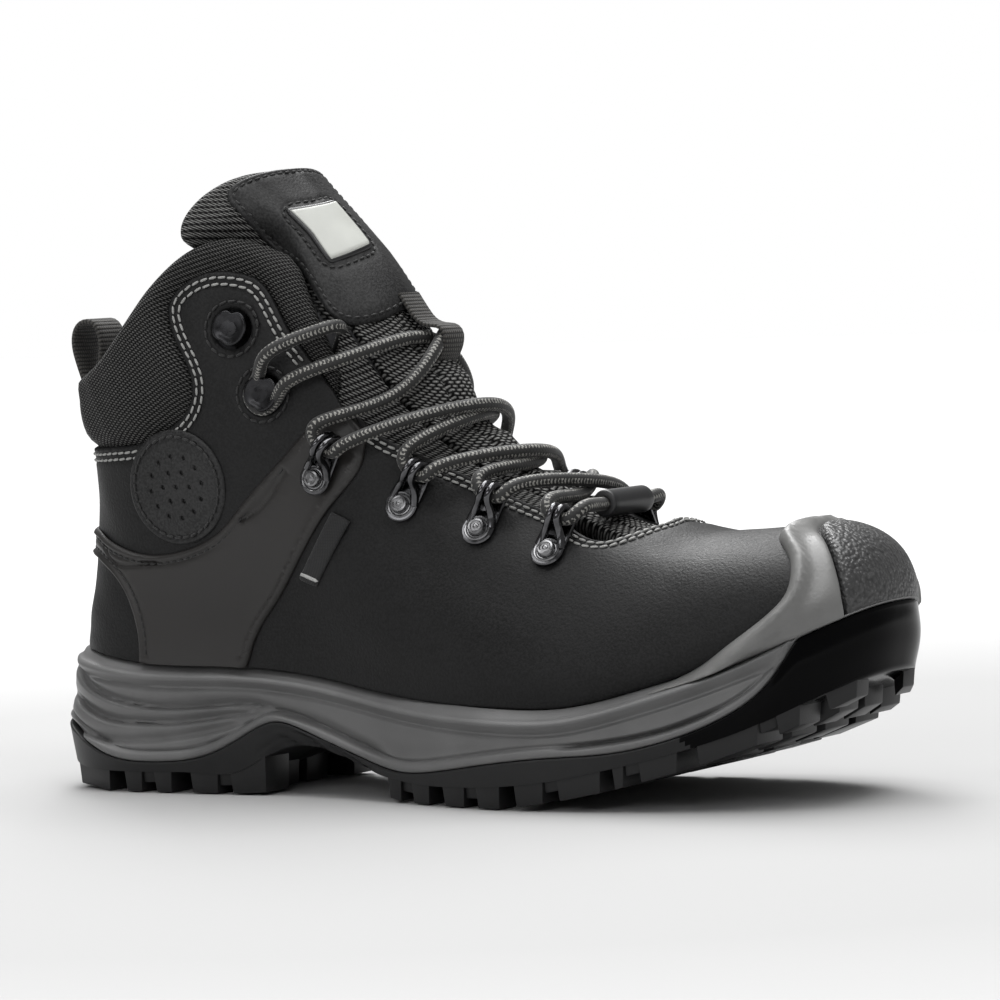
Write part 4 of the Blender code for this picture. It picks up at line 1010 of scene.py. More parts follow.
def midsole_inset(x, z):
    """How far the midsole's wall stands in from the sole's widest outline."""
    top, foot = feather(x) - z, z - split_at(x)
    wall = top + foot
    share = foot / np.maximum(wall, 0.1)
    # the hollow of the whole wall
    inset = 1.5 + 1.5 * np.sin(np.pi * np.clip(share, 0, 1)) ** 2 * smooth_step(wall, 8, 20)
    # the bead along the top, the groove under it, its rounded edge, and its slope in at the heel
    inset -= mix(0.1, 1.4, smooth_step(x, 3, 30)) * crease(top - 1.8, 1.35)
    inset += 0.9 * crease(top - 4.9, 0.9) * smooth_step(x, 6, 24)
    inset += np.where(top < 0.9, 1.3 * (1 - top / 0.9) ** 2, 0)
    inset += 3.2 * np.clip(1 - top / 12, 0, 1) ** 1.5 * (1 - smooth_step(x, 5, 50))
    # the bead along the foot, the groove over it and its rounded edge
    inset -= 0.55 * crease(foot - 1.6, 1.2)
    inset += 0.9 * crease(foot - 3.6, 0.6) * smooth_step(wall, 8, 14)
    inset += np.where(foot < 0.6, 0.9 * (1 - foot / 0.6) ** 2, 0)
    for line, deep in zip(SIDE_GROOVES, GROOVE_DEPTH):
        gap, ends = line_gap(x, z, line, 12)
        below = z < np.interp(x, *np.array(line).T)
        inset += deep * ends * smooth_step(x, 6, 15) * np.where(below, crease(gap, 0.75), crease(gap, 2.4))
    for line in TOE_GROOVES:
        gap, ends = line_gap(x, z, line, 7)
        inset += 1.8 * ends * crease(gap, 0.75)
    return inset


def outsole_inset(x, z):
    """The outsole's side, with its ribbed arch and its smooth bumper over the toe."""
    split, base = split_at(x), tread_base(x)
    share = np.clip((z - base) / np.maximum(split - base, 0.5), 0, 1)
    arch = smooth_step(x, 92, 100) * (1 - smooth_step(x, 134, 144))
    inset = mix(2.6, 1.0, share) + arch * 2.2 * (1 - share)
    inset += np.where(split - z < 0.8, 0.8 * (1 - (split - z) / 0.8) ** 2, 0)
    for rib in ARCH_RIBS:
        gap, _ = line_gap(x, z, rib)
        inset += arch * (1.1 * crease(gap, 0.8) - 0.5 * crease(gap - 1.8, 1.2))
    bumper = smooth_step(x, 270, 292)
    inset += bumper * (0.35 - 1.2 * np.sin(np.pi * np.clip(share, 0, 1)) ** 1.5)
    return np.maximum(inset, 0.0)


def stacked(name, rings, material):
    """A closed body through matching rings, capped by strips across the first and the last."""
    rows, count = len(rings), len(rings[0])
    faces = row_faces(rows, count, caps=False)
    for base in (0, (rows - 1) * count):
        for i in range(count // 2):
            a, b = base + i, base + i + 1
            c, d = base + (count - i - 1) % count, base + (count - i) % count
            faces.append((a, b, c) if i == 0 else ((a, b, d) if i == count // 2 - 1 else (a, b, c, d)))
    return face_out(make_object(name, np.vstack(rings), faces, material, None, 50))


def make_midsole():
    """The midsole's wall from the outsole up, its lip against the upper and the recess inside it."""
    def between(share):
        return lambda x: mix(split_at(x) + 0.1, feather(x) - 0.15, share)
    shares = np.concatenate((np.linspace(0, 0.14, 9), np.linspace(0.16, 0.84, 42), np.linspace(0.86, 1, 12)))
    rings = [wall_ring(between(share), midsole_inset) for share in shares]
    for rise, side, heel in LIP:
        rings.append(wall_ring(lambda x: feather(x) + rise * (1 - smooth_step(x, 284, 296)),
                               lambda x, z: mix(heel, side, smooth_step(x, 5, 50))))
    rings.append(wall_ring(lambda x: np.maximum(feather(x) - RECESS_DEPTH, split_at(x) + 0.4), RECESS_INSET))
    place(stacked("midsole_wall", rings, POLYURETHANE), "boot", "midsole_pu", "midsole")


def lug(x0, x1, inner, outer, side, notch):
    """One bevelled tread lug. A notch parts it at a share of its length, over a lower bridge."""
    tips = lambda x: max(float(tread_tips(x)), 0.0)
    base = lambda x: float(tread_base(x)) + 2.0
    bridge = lambda x: mix(float(tread_tips(x)), float(tread_base(x)), 0.5)
    work = bmesh.new()

    def corners(a, b, low, height, inset):
        """Four corners of a face between a and b, from a share low of the sole's half width."""
        spots = []
        for x, share in ((a, low), (a, outer), (b, outer), (b, low)):
            reach = float(sole_half(np.array(x), inset, np.array(side))) * share
            spots.append((x, float(mid_line(x)) + side * reach, height(x)))
        return spots

    def block(tip, root):
        verts = [work.verts.new(p) for p in tip + root]
        for face in ((0, 1, 2, 3), (7, 6, 5, 4), (0, 4, 5, 1), (1, 5, 6, 2), (2, 6, 7, 3), (3, 7, 4, 0)):
            work.faces.new([verts[i] for i in face])
    middle = mix(x0, x1, notch)
    for a, b in ([(x0, middle - 2.2), (middle + 2.2, x1)] if notch else [(x0, x1)]):
        block(corners(a + .7, b - .7, inner, tips, 3.4), corners(a, b, inner - .01, base, 2.75))
    if notch:
        a, b = middle - 2.4, middle + 2.4
        block(corners(a, b, inner + .02, bridge, 4.2), corners(a, b, inner, base, 3.6))
    bmesh.ops.recalc_face_normals(work, faces=work.faces)
    bmesh.ops.bevel(work, geom=work.edges[:], offset=0.45, segments=2, profile=0.6, affect="EDGES")
    points = [tuple(v.co) for v in work.verts]
    work.verts.index_update()
    faces = [[v.index for v in face.verts] for face in work.faces]
    work.free()
    return points, faces


EDGE_LUGS = [(16, 35, 0), (41, 60, .5), (67, 96, .45), (146, 165, .45), (170.5, 194, .5), (199, 229, .43),
             (232.5, 253.5, .3), (259, 287.5, .7), (293, 299.5, 0)]
MIDDLE_LUGS = [(18, 31), (37, 49), (55, 67), (73, 88), (152, 165), (171, 184), (190, 203), (209, 222),
               (228, 241), (247, 259), (265, 277), (282, 291)]


def make_outsole():
    """The outsole's slab with its glossy bumper at the toe, and its edge and middle lugs."""
    def between(share):
        return lambda x: mix(tread_base(x), split_at(x) - 0.1, share)
    shares = (0.02, 0.06, *np.linspace(0.1, 0.92, 26), 0.95, 0.98, 1)
    rings = [wall_ring(tread_base, inset) for inset in (30.0, 12.0, 5.0)]
    rings += [wall_ring(between(share), outsole_inset) for share in shares]
    rings += [wall_ring(between(1), inset) for inset in (4.5, 9.0)]
    slab = stacked("outsole_slab", rings, RUBBER)
    slab.data.materials.append(BUMPER)
    for face in slab.data.polygons:
        spot = np.array(face.center) / MM + CENTRE
        face.material_index = int(spot[0] > BUMPER_START + 0.9 * (split_at(spot[0]) - spot[2]))
    points, faces = [], []
    for side, _ in SIDES:
        spans = [(a, b, .60, 1.0, notch) for a, b, notch in EDGE_LUGS]
        spans += [(a, b, .07, .47, 0) for a, b in MIDDLE_LUGS]
        for a, b, inner, outer, notch in spans:
            block, sides = lug(a, b, inner, outer, side, notch)
            faces += [[i + len(points) for i in face] for face in sides]
            points += block
    lugs = make_object("outsole_lugs", points, faces, RUBBER, None, 40)
    place(slab, "boot", "outsole_rubber", "outsole")
    place(lugs, "boot", "outsole_rubber")


make_midsole()
make_outsole()


# ---------------------------------------------------------------- upper: outlines

SKIN = (-1.8, 0.0)  # depths of the leather's inner and outer face
FOOT_RING = 0.014
# side-view outlines of the lateral panels, as x and z
EYESTAY = [(229.5, 85.2), (227, 83.9), (222, 81.8), (218.5, 80.9), (215, 81), (209, 83.5), (202, 87),
           (191, 91.5), (180, 96), (163, 103.5), (150, 109.5), (140, 115), (132, 122)]
VAMP_REAR = [(133, 119), (127, 108), (119, 92), (108, 74), (98, 60), (88, 47)]
QUARTER_REAR_LOW = [(52, 50), (52, 60), (46, 71), (32, 79)]
LEATHER_TOP = [(42, 112), (55, 113), (67, 118), (75, 125), (76, 135), (70.5, 146), (68, 156), (73, 163.5),
               (83, 167.5), (94, 166.5), (102, 161), (109, 149), (116, 140), (125, 129)]
BAND_TOP = [(32, 84), (45, 79), (57, 77), (71, 79), (82, 83.5), (94, 94), (107, 106), (118, 117), (125, 122),
            (131, 122), (137, 114)]
BAND_FRONT = [(137, 110), (136, 104), (126, 92), (113, 75), (103, 61), (95, 50), (91, 41)]
BAND_REAR = [(49, 43), (49, 52), (46, 62), (40, 70), (31, 75)]
HOOK_SPOTS = [(91, 149), (102, 128)]
WINDOW_RADIUS = 6.5
DISC_SPOT = (69, 99)
DISC_RADIUS = 18.5
PUNCH_RADIUS = 0.62


def heel_spot(z):
    """The flat spot on the heel's middle line at a height."""
    return float(to_ring(np.array(24.0), np.array(float(z)), LATERAL)[1]) * RING_LENGTH


def at_side(lines, side):
    """Lines drawn on the lateral side, moved to one of the sides."""
    return [line if side < 0 else mirrored(line) for line in lines]


def ripple(size, depth, seed=0.0):
    """Gentle unevenness of a skin, in millimetres."""
    def relief(spots, edge):
        waves = [noise(Vector((u / size + seed, v / size, seed))) for u, v in spots]
        return depth * np.array(waves) * np.clip(edge / 4, 0, 1)
    return relief


collar_edge = flat(*to_ring(*np.array(LEATHER_TOP, float).T, LATERAL))
collar_edge = smooth(np.vstack(((0.0, heel_spot(112.3)), collar_edge)))
eyestay_edge = traced(EYESTAY)[::-1]


def make_quarters():
    """The quarters with a round window for each hook. Returns their double seams."""
    top = collar_edge[collar_edge[:, 0] > 5][::-1]
    back = np.array([(3.4, heel_spot(111.5)), (3.4, heel_spot(80.5))])
    rear_low = traced([(x + .6, z + .6) for x, z in QUARTER_REAR_LOW])[::-1]
    front = traced([(x - 1.3, z) for x, z in VAMP_REAR])[::-1]
    whole = joined(back, rear_low, foot_line(54, 83, FOOT_RING), front, top)
    double = [line[line[:, 0] > 5.5][:-3] for line in (beside(collar_edge, -2.2), beside(collar_edge, -4.3))]
    windows = [ring_circle(x, z, WINDOW_RADIUS) for x, z in HOOK_SPOTS]
    sewn = [shut(ring_circle(x, z, WINDOW_RADIUS + 2.4, 30)) for x, z in HOOK_SPOTS]
    seams = []
    for side, word in SIDES:
        outline, *holes = at_side([whole] + windows, side)
        piece = shell("quarter_skin_" + word, outline, SKIN, LEATHER, 2.6, holes,
                      at_side(double + sewn, side), ripple(22, 0.5, 3.0 + side))
        place(piece, "boot", "leather", "quarter_" + word)
        seams += at_side(double, side)
        thread = stitches("window_stitching_" + word, at_side(sewn, side), BLACK_THREAD, 0.0)
        place(thread, "boot", "leather")
        make_disc(side, word)
    return seams


def make_disc(side, word):
    """The round ankle patch with its pattern of small punched holes."""
    outline = ring_circle(*DISC_SPOT, DISC_RADIUS, 90)
    holes = []
    for count, reach in ((1, 0.0), (6, 5.2), (12, 10.0)):
        for i in range(count):
            angle = 2 * math.pi * (i + 0.25 * (count == 12)) / count
            x, z = DISC_SPOT[0] + reach * math.cos(angle), DISC_SPOT[1] + reach * math.sin(angle)
            holes.append(ring_circle(x, z, PUNCH_RADIUS, 10))
    edge = at_side([shut(ring_circle(*DISC_SPOT, DISC_RADIUS - 2.2, 60))], side)
    floor = ring_circle(*DISC_SPOT, DISC_RADIUS - 3.0, 50)
    outline, floor, *holes = at_side([outline, floor] + holes, side)
    piece = shell("ankle_patch_" + word, outline, (0.15, 1.1), PATCH_LEATHER, 2.2, holes, edge, None, 1.0)
    place(piece, "boot", "leather", "ankle_disc_" + word)
    place(shell("ankle_patch_backing_" + word, floor, (0.02, 0.12), BLACK_THREAD, 3.0), "boot", "leather")
    place(stitches("ankle_patch_stitching_" + word, edge, BLACK_THREAD, 1.1), "boot", "leather")


def foot_turn(x, rise):
    """The turn of the lateral side's foot at x, at a rise above the feather line."""
    return float(to_ring(np.array(float(x)), feather(float(x)) + rise, LATERAL)[0])


def make_vamp():
    """The vamp, in one with the eyestays. Returns its double seam."""
    rear = traced(VAMP_REAR)
    foot = resample(flat((0.5, foot_turn(84, FOOT_RISE)), (FOOT_RING, FOOT_RING)), 2.0)
    throat = smooth(np.vstack((eyestay_edge[::3], flat(.5, .523))), 1.6)
    half = np.vstack((foot, rear[::-1], throat))
    outline = joined(half, mirrored(half)[1:-1])
    whole = np.vstack((throat, mirrored(throat)[1:]))
    double = [beside(whole, -2.0)[2:-2], beside(whole, -4.0)[2:-2]]

    def folds(spots, edge):
        """A low ledge where the toecap begins, and a soft fold behind it."""
        x = on_ring(*ring_of(spots))[:, 0]
        cap, fold = 0.5 * smooth_step(x, 247, 254), 0.25 * (1 - smooth_step(np.abs(x - 246), 0, 5))
        return (cap - fold) * np.clip(edge / 5, 0, 1)
    even = ripple(30, 0.7, 8.0)
    piece = shell("vamp_skin", outline, SKIN, LEATHER, 2.6, (), double,
                  lambda spots, edge: folds(spots, edge) + even(spots, edge))
    place(piece, "boot", "leather", "vamp")
    return double


def make_heel():
    """The rubberised band round the heel with its beads and grooves, and the leather under it."""
    top, front, rear = traced(BAND_TOP), traced(BAND_FRONT), traced(BAND_REAR)
    foot = foot_line(90, 49.5, FOOT_RING)
    upper = smooth(np.vstack(((0.0, heel_spot(86)), top)))
    lower = smooth(np.vstack((rear, (0.0, heel_spot(77)))))
    half = np.vstack((upper, front, foot, lower))
    outline = joined(half, on_other(half)[1:-1])
    grooves = []
    for points in ([(35, 79.5), (40, 74.5), (47, 73.6), (58, 74.6)],
                   [(92, 88), (98, 91), (108, 101.5), (110, 104)]):
        line = traced(points)
        grooves += [line, on_other(line)]
    beads = [upper, front, lower]
    beads += [on_other(line) for line in beads]
    sewn = [beside(upper, -2.9)[3:-2], beside(front, -2.9)[2:-3], beside(lower, -2.9)[2:-3]]
    sewn += [on_other(line) for line in sewn]

    def relief(spots, edge):
        rise = np.zeros(len(spots))
        for line in beads:
            rise = np.maximum(rise, 0.75 * crease(distance(spots, line, False) - 1.5, 0.825))
        for line in grooves:
            rise -= 0.5 * crease(distance(spots, line, False), 0.6)
        return rise
    band = shell("heel_band_skin", outline, (0.15, 1.15), COATED, 2.4, (), sewn + grooves, relief, 1.0, 0.3)
    place(band, "boot", "coated_leather", "heel_band")
    place(stitches("heel_band_stitching", sewn, BLACK_THREAD, 0.85, 2.8, 2.1, 0.34), "boot", "coated_leather")

    edge = traced([(53.5, 44), (53.5, 60), (48, 70), (35, 79)])
    half = np.vstack((foot_line(16, 53, FOOT_RING)[1:], edge, [(0.0, heel_spot(81))]))
    base = np.array([(0.0, FOOT_RING * RING_LENGTH)])
    outline = joined(base, half, on_other(half)[1:])
    heel = shell("heel_skin", outline, (-1.9, -0.05), LEATHER, 2.8, (), (), ripple(18, 0.4, 5.0))
    place(heel, "boot", "leather", "heel_leather", "heel_counter")


quarter_seams = make_quarters()
vamp_seams = make_vamp()
make_heel()
place(stitches("grey_stitching", quarter_seams + vamp_seams, GREY_THREAD, 0.02), "boot", "leather")


# ---------------------------------------------------------------- padded collar and linings

def make_collar():
    """The foam collar in coarse mesh: one roll from the leather's edge over the rim to the inside."""
    low = moved(collar_edge, -1.2)
    low[0, 0] = 0.0
    front = traced([(127, 130), (126, 136), (120.5, 147), (115, 158), (111, 167)])
    rim = np.array([(0.29, 1.012), (0.2, 1.005), (0.1, 1.005), (0, 1.01)]) * ring_mm
    top = smooth(np.vstack((front[-1] + (-3.0, 3.0), rim)))
    half = np.vstack((low, front, top))
    outline = joined(half, on_other(half)[1:-1])
    whole = np.vstack((collar_edge, collar_edge[-1:]))

    def puff(spots):
        gap = np.minimum(distance(spots, whole, False), distance(spots, on_other(whole), False))
        return -1.3 + 4.3 * (1 - np.exp(-gap / 4.0))
    wave = ripple(13, 0.8, 21.0)
    pad = shell("collar_padding", outline, (-8.0, puff), COLLAR_MESH, 2.2, (), (), wave, 5.0, 0.0, -3.2, 0.0)
    place(pad, "boot", "textile", "collar_pad")


def make_linings():
    """The knitted linings seen inside the shaft and through the throat."""
    eyestay = traced([(156.5, 98), (146.5, 103), (136.5, 108), (127.5, 116), (120.5, 124), (113.5, 136),
                      (106.5, 147), (100.5, 158), (97.5, 164)])
    foot = resample(flat((0.0, foot_turn(158, 5)), (0.05, 0.05)), 4.0)
    front = traced([(158, 60), (158, 78)])
    top = np.array([(eyestay[-1, 0] - 5, 0.955 * RING_LENGTH), (0.0, 0.955 * RING_LENGTH)])
    half = np.vstack((foot, front, eyestay, top))
    outline = joined(half, on_other(half)[1:-1])
    shaft = shell("shaft_lining", outline, (-9.0, -6.2), LINING, 4.0, (), (), ripple(25, 0.8, 2.0), 1.0)
    place(shaft, "boot", "lining", "quarter_lining")

    rear = traced([(160, 60), (160, 78), (160, 92)])
    throat = traced([(215, 76.5), (202, 83.5), (180, 92.5), (163, 100)])[::-1]
    foot = resample(flat((0.5, foot_turn(160, 5)), (0.05, 0.05)), 4.0)
    half = np.vstack((foot, rear, throat, flat(0.5, 0.46)))
    vamp = shell("vamp_lining_skin", joined(half, mirrored(half)[1:-1]), (-6.9, -5.5), LINING, 5.0)
    place(vamp, "boot", "lining", "vamp_lining")


make_collar()
make_linings()


# ---------------------------------------------------------------- toe

# outlines of the toe wrap in turns and rings, from its foot to the middle of the toe
WRAP_REAR = [(0.338, 0.0), (0.354, 0.012), (0.374, 0.024), (0.390, 0.049), (0.402, 0.065), (0.418, 0.090),
             (0.427, 0.114), (0.434, 0.150), (0.4405, 0.190), (0.446, 0.227), (0.4525, 0.263), (0.464, 0.291),
             (0.483, 0.306), (0.5, 0.309)]
WRAP_FRONT = [(0.4555, 0.0), (0.457, 0.05), (0.460, 0.12), (0.467, 0.187), (0.4775, 0.235), (0.488, 0.258),
              (0.5, 0.266)]


def make_toe():
    """The moulded wrap that climbs from the midsole over the toe, and the pebbled guard in front of it."""
    rear, front = (smooth(np.array(line) * ring_mm, 1.6) for line in (WRAP_REAR, WRAP_FRONT))
    whole_rear, whole_front = (np.vstack((line, mirrored(line)[1:])) for line in (rear, front))
    outline = joined(whole_rear, whole_front[::-1])

    def top(spots):
        k = spots[:, 1] / RING_LENGTH
        return 2.3 + 2.2 * (1 - smooth_step(k, 0.0, 0.13))

    def bead(spots, edge):
        gap = distance(spots, whole_rear, False)
        return 1.7 * crease(gap - 2.6, 1.5) - 0.9 * crease(gap - 7.0, 2.6)
    wrap = shell("toe_wrap_moulding", outline, (0.1, top), WRAP, 1.9, (), (), bead, 2.2, 0.1)
    place(wrap, "boot", "midsole_pu", "toe_wrap", "steel_toecap")
    edge = moved(whole_front, -0.5)
    base = resample(np.array([(0.5415, 0.0), (0.4585, 0.0)]) * ring_mm, 1.6)
    outline = joined(edge, base[1:-1])
    swell = lambda spots: 2.9 + 0.5 * (1 - smooth_step(spots[:, 1] / RING_LENGTH, 0.0, 0.1))
    guard = shell("toe_guard_moulding", outline, (0.1, swell), PEBBLE, 1.7, (), (), None, 1.6, 0.25)
    place(guard, "boot", "toe_rubber", "toe_guard")


make_toe()


# ---------------------------------------------------------------- tongue

CROSSING_X = {"bar": 211.5, 4: 198.5, 3: 181, 2: 163, "keeper": 145.5}  # where the lace crosses the tongue
# outlines in turns and rings: half the flap from its foot, the whole patch, and the label's corners
FLAP_EDGE = [(0.460, 0.893), (0.420, 0.884), (0.385, 0.882), (0.366, 0.895), (0.358, 0.93), (0.350, 0.965),
             (0.33, 0.975), (0.300, 0.975), (0.276, 1.00), (0.268, 1.05), (0.276, 1.11), (0.306, 1.17),
             (0.35, 1.217), (0.40, 1.25), (0.46, 1.268), (0.5, 1.27)]
PATCH_EDGE = [(0.475, 0.893), (0.440, 0.886), (0.405, 0.882), (0.380, 0.890), (0.370, 0.915), (0.364, 0.955),
              (0.345, 1.00), (0.338, 1.06), (0.338, 1.12), (0.352, 1.17), (0.385, 1.21), (0.43, 1.238),
              (0.475, 1.250), (0.51, 1.250), (0.545, 1.235), (0.571, 1.205), (0.582, 1.15), (0.583, 1.08),
              (0.583, 1.0), (0.580, 0.94), (0.565, 0.905), (0.53, 0.895)]
LABEL_CORNERS = [(0.390, 1.063), (0.402, 0.954), (0.488, 0.978), (0.493, 1.095)]
tongue_edge = curve([0.47, 0.53, 0.6, 0.7, 0.8, 0.93], [.452, .440, .440, .425, .408, .385])


def pressed(k):
    """How far the laced part of the tongue lies below the eyestays."""
    return 4.0 * (1 - smooth_step(k, 0.6, 0.86))


def sink(spots):
    """How far the lower tongue lies in, with its top tucked under the upper tongue."""
    k = spots[:, 1] / RING_LENGTH
    return pressed(k) + 5.0 * smooth_step(k, 0.88, 0.92)


def tuck(spots):
    """How far the upper tongue's wings go in behind the collar."""
    turn, k = ring_of(spots)
    aside = 1 - smooth_step(np.minimum(turn, 1 - turn), 0.352, 0.378)
    return 7.0 * aside * (1 - smooth_step(k, 1.0, 1.07))


def below(depth, how):
    """A depth function: a plain depth, less what a function of the spots takes off."""
    return lambda spots: depth - how(spots)


def make_lower_tongue():
    """The laced part of the tongue, with a soft pad between each two crossings of the lace."""
    rise = np.array([(float(tongue_edge(k)), k) for k in np.linspace(0.475, 0.93, 13)]) * ring_mm
    outline = joined(smooth(rise), mirrored(smooth(rise)))
    channel = np.array([(0.472, 0.55), (0.464, 0.70), (0.460, 0.88)]) * ring_mm
    channels = [smooth(channel), smooth(mirrored(channel)[::-1])]
    wave = ripple(10, 0.9, 31.0)
    xs = np.array(list(CROSSING_X.values()))
    rows = to_ring(xs, ridge(xs) - 0.2, LATERAL)[1]

    def quilt(spots, edge):
        gap = np.min([distance(spots, line, False) for line in channels], 0)
        row = np.interp(spots[:, 1] / RING_LENGTH, rows, np.arange(len(rows)))
        pad = 4.4 * np.sin(np.pi * row) ** 2 * crease(even_spots(spots, 0.5)[:, 0], 13.0)
        return wave(spots, edge) + pad - 1.6 * crease(gap, 1.6)
    lower = shell("tongue_padding_lower", outline, (below(-9.0, sink), below(-1.6, sink)), MESH, 2.2, (), (),
                  quilt, 3.5, 0.0, below(-6.0, sink), 0.5)
    place(lower, "boot", "textile", "tongue_lower")


def make_upper_tongue():
    """The flap above the lace, with its sewn leather patch and blank label."""
    half = smooth(np.array(FLAP_EDGE) * ring_mm)
    outline = joined(half, mirrored(half)[1:])
    upper = shell("tongue_padding_upper", outline, (below(-9.4, tuck), below(-1.0, tuck)), MESH, 2.2, (), (),
                  ripple(16, 0.8, 41.0), 4.5, 0.0, below(-5.4, tuck), 0.5)
    place(upper, "tongue", "textile", "tongue_upper")

    edge = smooth(np.array(PATCH_EDGE) * ring_mm, 1.6, True)
    corners = np.array(LABEL_CORNERS) * ring_mm
    frame_line = joined(*sides_of(corners, 1.6))
    border = shut(round_corners(beside(edge, -1.8, True), 2))
    sewn = shut(round_corners(beside(frame_line, -2.4, True), 2))
    patch = shell("tongue_leather", edge, (below(-2.6, tuck), below(0.1, tuck)), PATCH_LEATHER, 2.3, (),
                  [border, sewn], ripple(16, 0.5, 51.0), 1.2, 0.5)
    place(patch, "tongue", "leather", "tongue_patch")
    thread = [(border, below(0.02, tuck)), (sewn, 0.02)]
    place(stitches("tongue_stitching", thread, BLACK_THREAD, 0.0, 2.7, 1.8, 0.40), "tongue", "leather")
    rim = round_corners(beside(frame_line, -0.5, True), 1)
    raised = shell("tongue_label_frame", rim, (0.0, 0.85), LABEL_FRAME, 2.0, (), (), None, 0.8, 0.3)
    place(raised, "tongue", "label")
    face = round_corners(beside(frame_line, 0.7, True), 1)
    plate = shell("tongue_label_face", face, (0.4, 1.25), LABEL_FACE, 2.0, (), (), None, 0.5, 0.5)
    place(plate, "tongue", "label", "tongue_label")


def make_gussets():
    """The loose webs of mesh between the lower tongue and the eyestays."""
    inner = np.array([(float(tongue_edge(k)) - 0.004, k) for k in np.linspace(0.60, 0.90, 11)]) * ring_mm
    outer = traced([(203.4, 82), (199.4, 83.5), (177.4, 92), (160.4, 99.5), (147.4, 105), (139.4, 109.5),
                    (131.4, 116.5), (125.4, 125.5)])
    whole = joined(smooth(inner), outer[::-1])
    for side, word in SIDES:
        gusset = shell("gusset_skin_" + word, *at_side([whole], side), (-5.6, -3.6), MESH, 3.0, (), (),
                       ripple(8, 0.8, 61.0), even_from=0.5)
        place(gusset, "boot", "textile", "gusset_" + word)


make_lower_tongue()
make_upper_tongue()
make_gussets()


# ---------------------------------------------------------------- tapes, tab and footbed

KEEPER = [(148.8, 136.2), (151.0, 139.0), (152.3, 142.4), (152.2, 145.2), (150.2, 147.2), (147.0, 147.7),
          (143.0, 149.0), (139.4, 153.0), (136.0, 158.0)]
PULL_LOOP = [(14.4, 121), (11.8, 129), (8.6, 138), (6.9, 146), (9.2, 151.4), (14.5, 152.2), (17.8, 147),
             (17.2, 138), (16.2, 130), (16.4, 122)]
SIDE_TAB = [(126.8, 90.5), (133.8, 87.5), (120, 66.8), (113, 69.2)]
SIDE_TAB_LINE = (0.06, 0.11)  # the light thread's place, as shares of the tab's length
ACROSS = np.array((0.0, 1.0, 0.0))
FOOTBED_BACK, FOOTBED_FRONT = 21.5, 294.0
FOOTBED_HEEL_REACH, FOOTBED_TOE_REACH = 32, 74
FOOTBED_COLUMNS = 160


def tape(name, path, width, thickness, body, node):
    """A tape across the boot's middle, along a side-view path."""
    x, z = smooth(np.array(path), 1.5).T
    line = np.stack((x, mid_line(x), z), -1)
    place(strap(name, line, ACROSS, width, thickness, WEBBING), body, "textile", node)


def make_side_tab():
    """The small woven tab sewn under the first lace loop, left blank."""
    def outline(corners, step):
        return joined(*[flat(*to_ring(*run.T, LATERAL)) for run in sides_of(corners, step)])
    spots = np.array(SIDE_TAB, float)
    weave = shell("side_tab_weave", outline(spots, 1.2), (0.55, 1.15), TAB, 1.5, (), (), None, 0.5, 0.4)
    place(weave, "boot", "side_tab", "side_label")
    front = [mix(spots[2], spots[1], share) for share in SIDE_TAB_LINE]
    rear = [mix(spots[3], spots[0], share) for share in SIDE_TAB_LINE]
    low = np.array((rear[0], *front, rear[1]))
    line = shell("side_tab_line", outline(low, 0.6), (0.9, 1.32), TAB_LIGHT, 1.0, (), (), None, 0.3, 0.5)
    place(line, "boot", "side_tab")


def plan_ring(inset, rise):
    """A ring of the footbed, inside the foot of the upper."""
    side, share = round_plan(FOOTBED_COLUMNS)
    x0, x1 = FOOTBED_BACK + inset, FOOTBED_FRONT - inset
    x = mix(x0, x1, share)
    width = np.where(side < 0, upper_lateral(x), upper_medial(x))
    width = width * mix(0.84, 0.94, smooth_step(x, 100, 150)) - inset
    heel = np.clip((x0 + FOOTBED_HEEL_REACH - x) / FOOTBED_HEEL_REACH, 0, 1)
    toe = np.clip((x - x1 + FOOTBED_TOE_REACH) / FOOTBED_TOE_REACH, 0, 1)
    width = width * blunt(heel, HEEL_POWER) * blunt(toe, TOE_POWER)
    return np.stack((x, mid_line(x) + side * width, feather(x) + rise), -1)


def make_footbed():
    section = [(24.0, -3.6), (10.2, -3.7), (9.2, -2.6), (9.0, 0.6), (9.5, 1.2), (10.6, 1.4), (13.0, 0.6),
               (18.0, 0.2), (26.0, 0.2)]
    rings = [plan_ring(inset, rise) for inset, rise in section]
    bed = place(stacked("footbed_cushion", rings, INSOLE), "removable_footbed", "footbed", "footbed")


def make_hidden():
    """The parts nobody sees: foam beside the ankle, and the steel and board under the footbed."""
    for side, word in SIDES:
        node = "ankle_foam_" + word
        low, high = (np.array(corner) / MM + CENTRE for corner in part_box(node))
        middle, reach = (low + high) / 2 - (0, 0, 4), (high - low) * 0.36
        turn = circle_angles(48)
        spots = to_ring(middle[0] + reach[0] * np.cos(turn), middle[2] + reach[2] * np.sin(turn), side)
        pad = shell(node + "_pad", flat(*spots), (-5.6, -3.6), FOAM, 3.0, (), (), None, 5.0, 0.3)
        place(pad, "boot", "lining", node)
    finishes = {"shank": SPRING_STEEL, "puncture_plate": SPRING_STEEL, "insole_board": FIBRE_BOARD}
    for node, finish in finishes.items():
        for slot in frame["nodes"][node].material_slots:
            slot.material = finish


make_hidden()
tape("lace_keeper_tape", KEEPER, 11.5, 1.2, "boot", "lace_keeper")
tape("pull_loop_tape", PULL_LOOP, 14, 1.5, "pull_tab", "pull_loop")
make_side_tab()
make_footbed()


# ---------------------------------------------------------------- fittings

LACE_RADIUS = 2.1
BAND_LIFT = 1.9
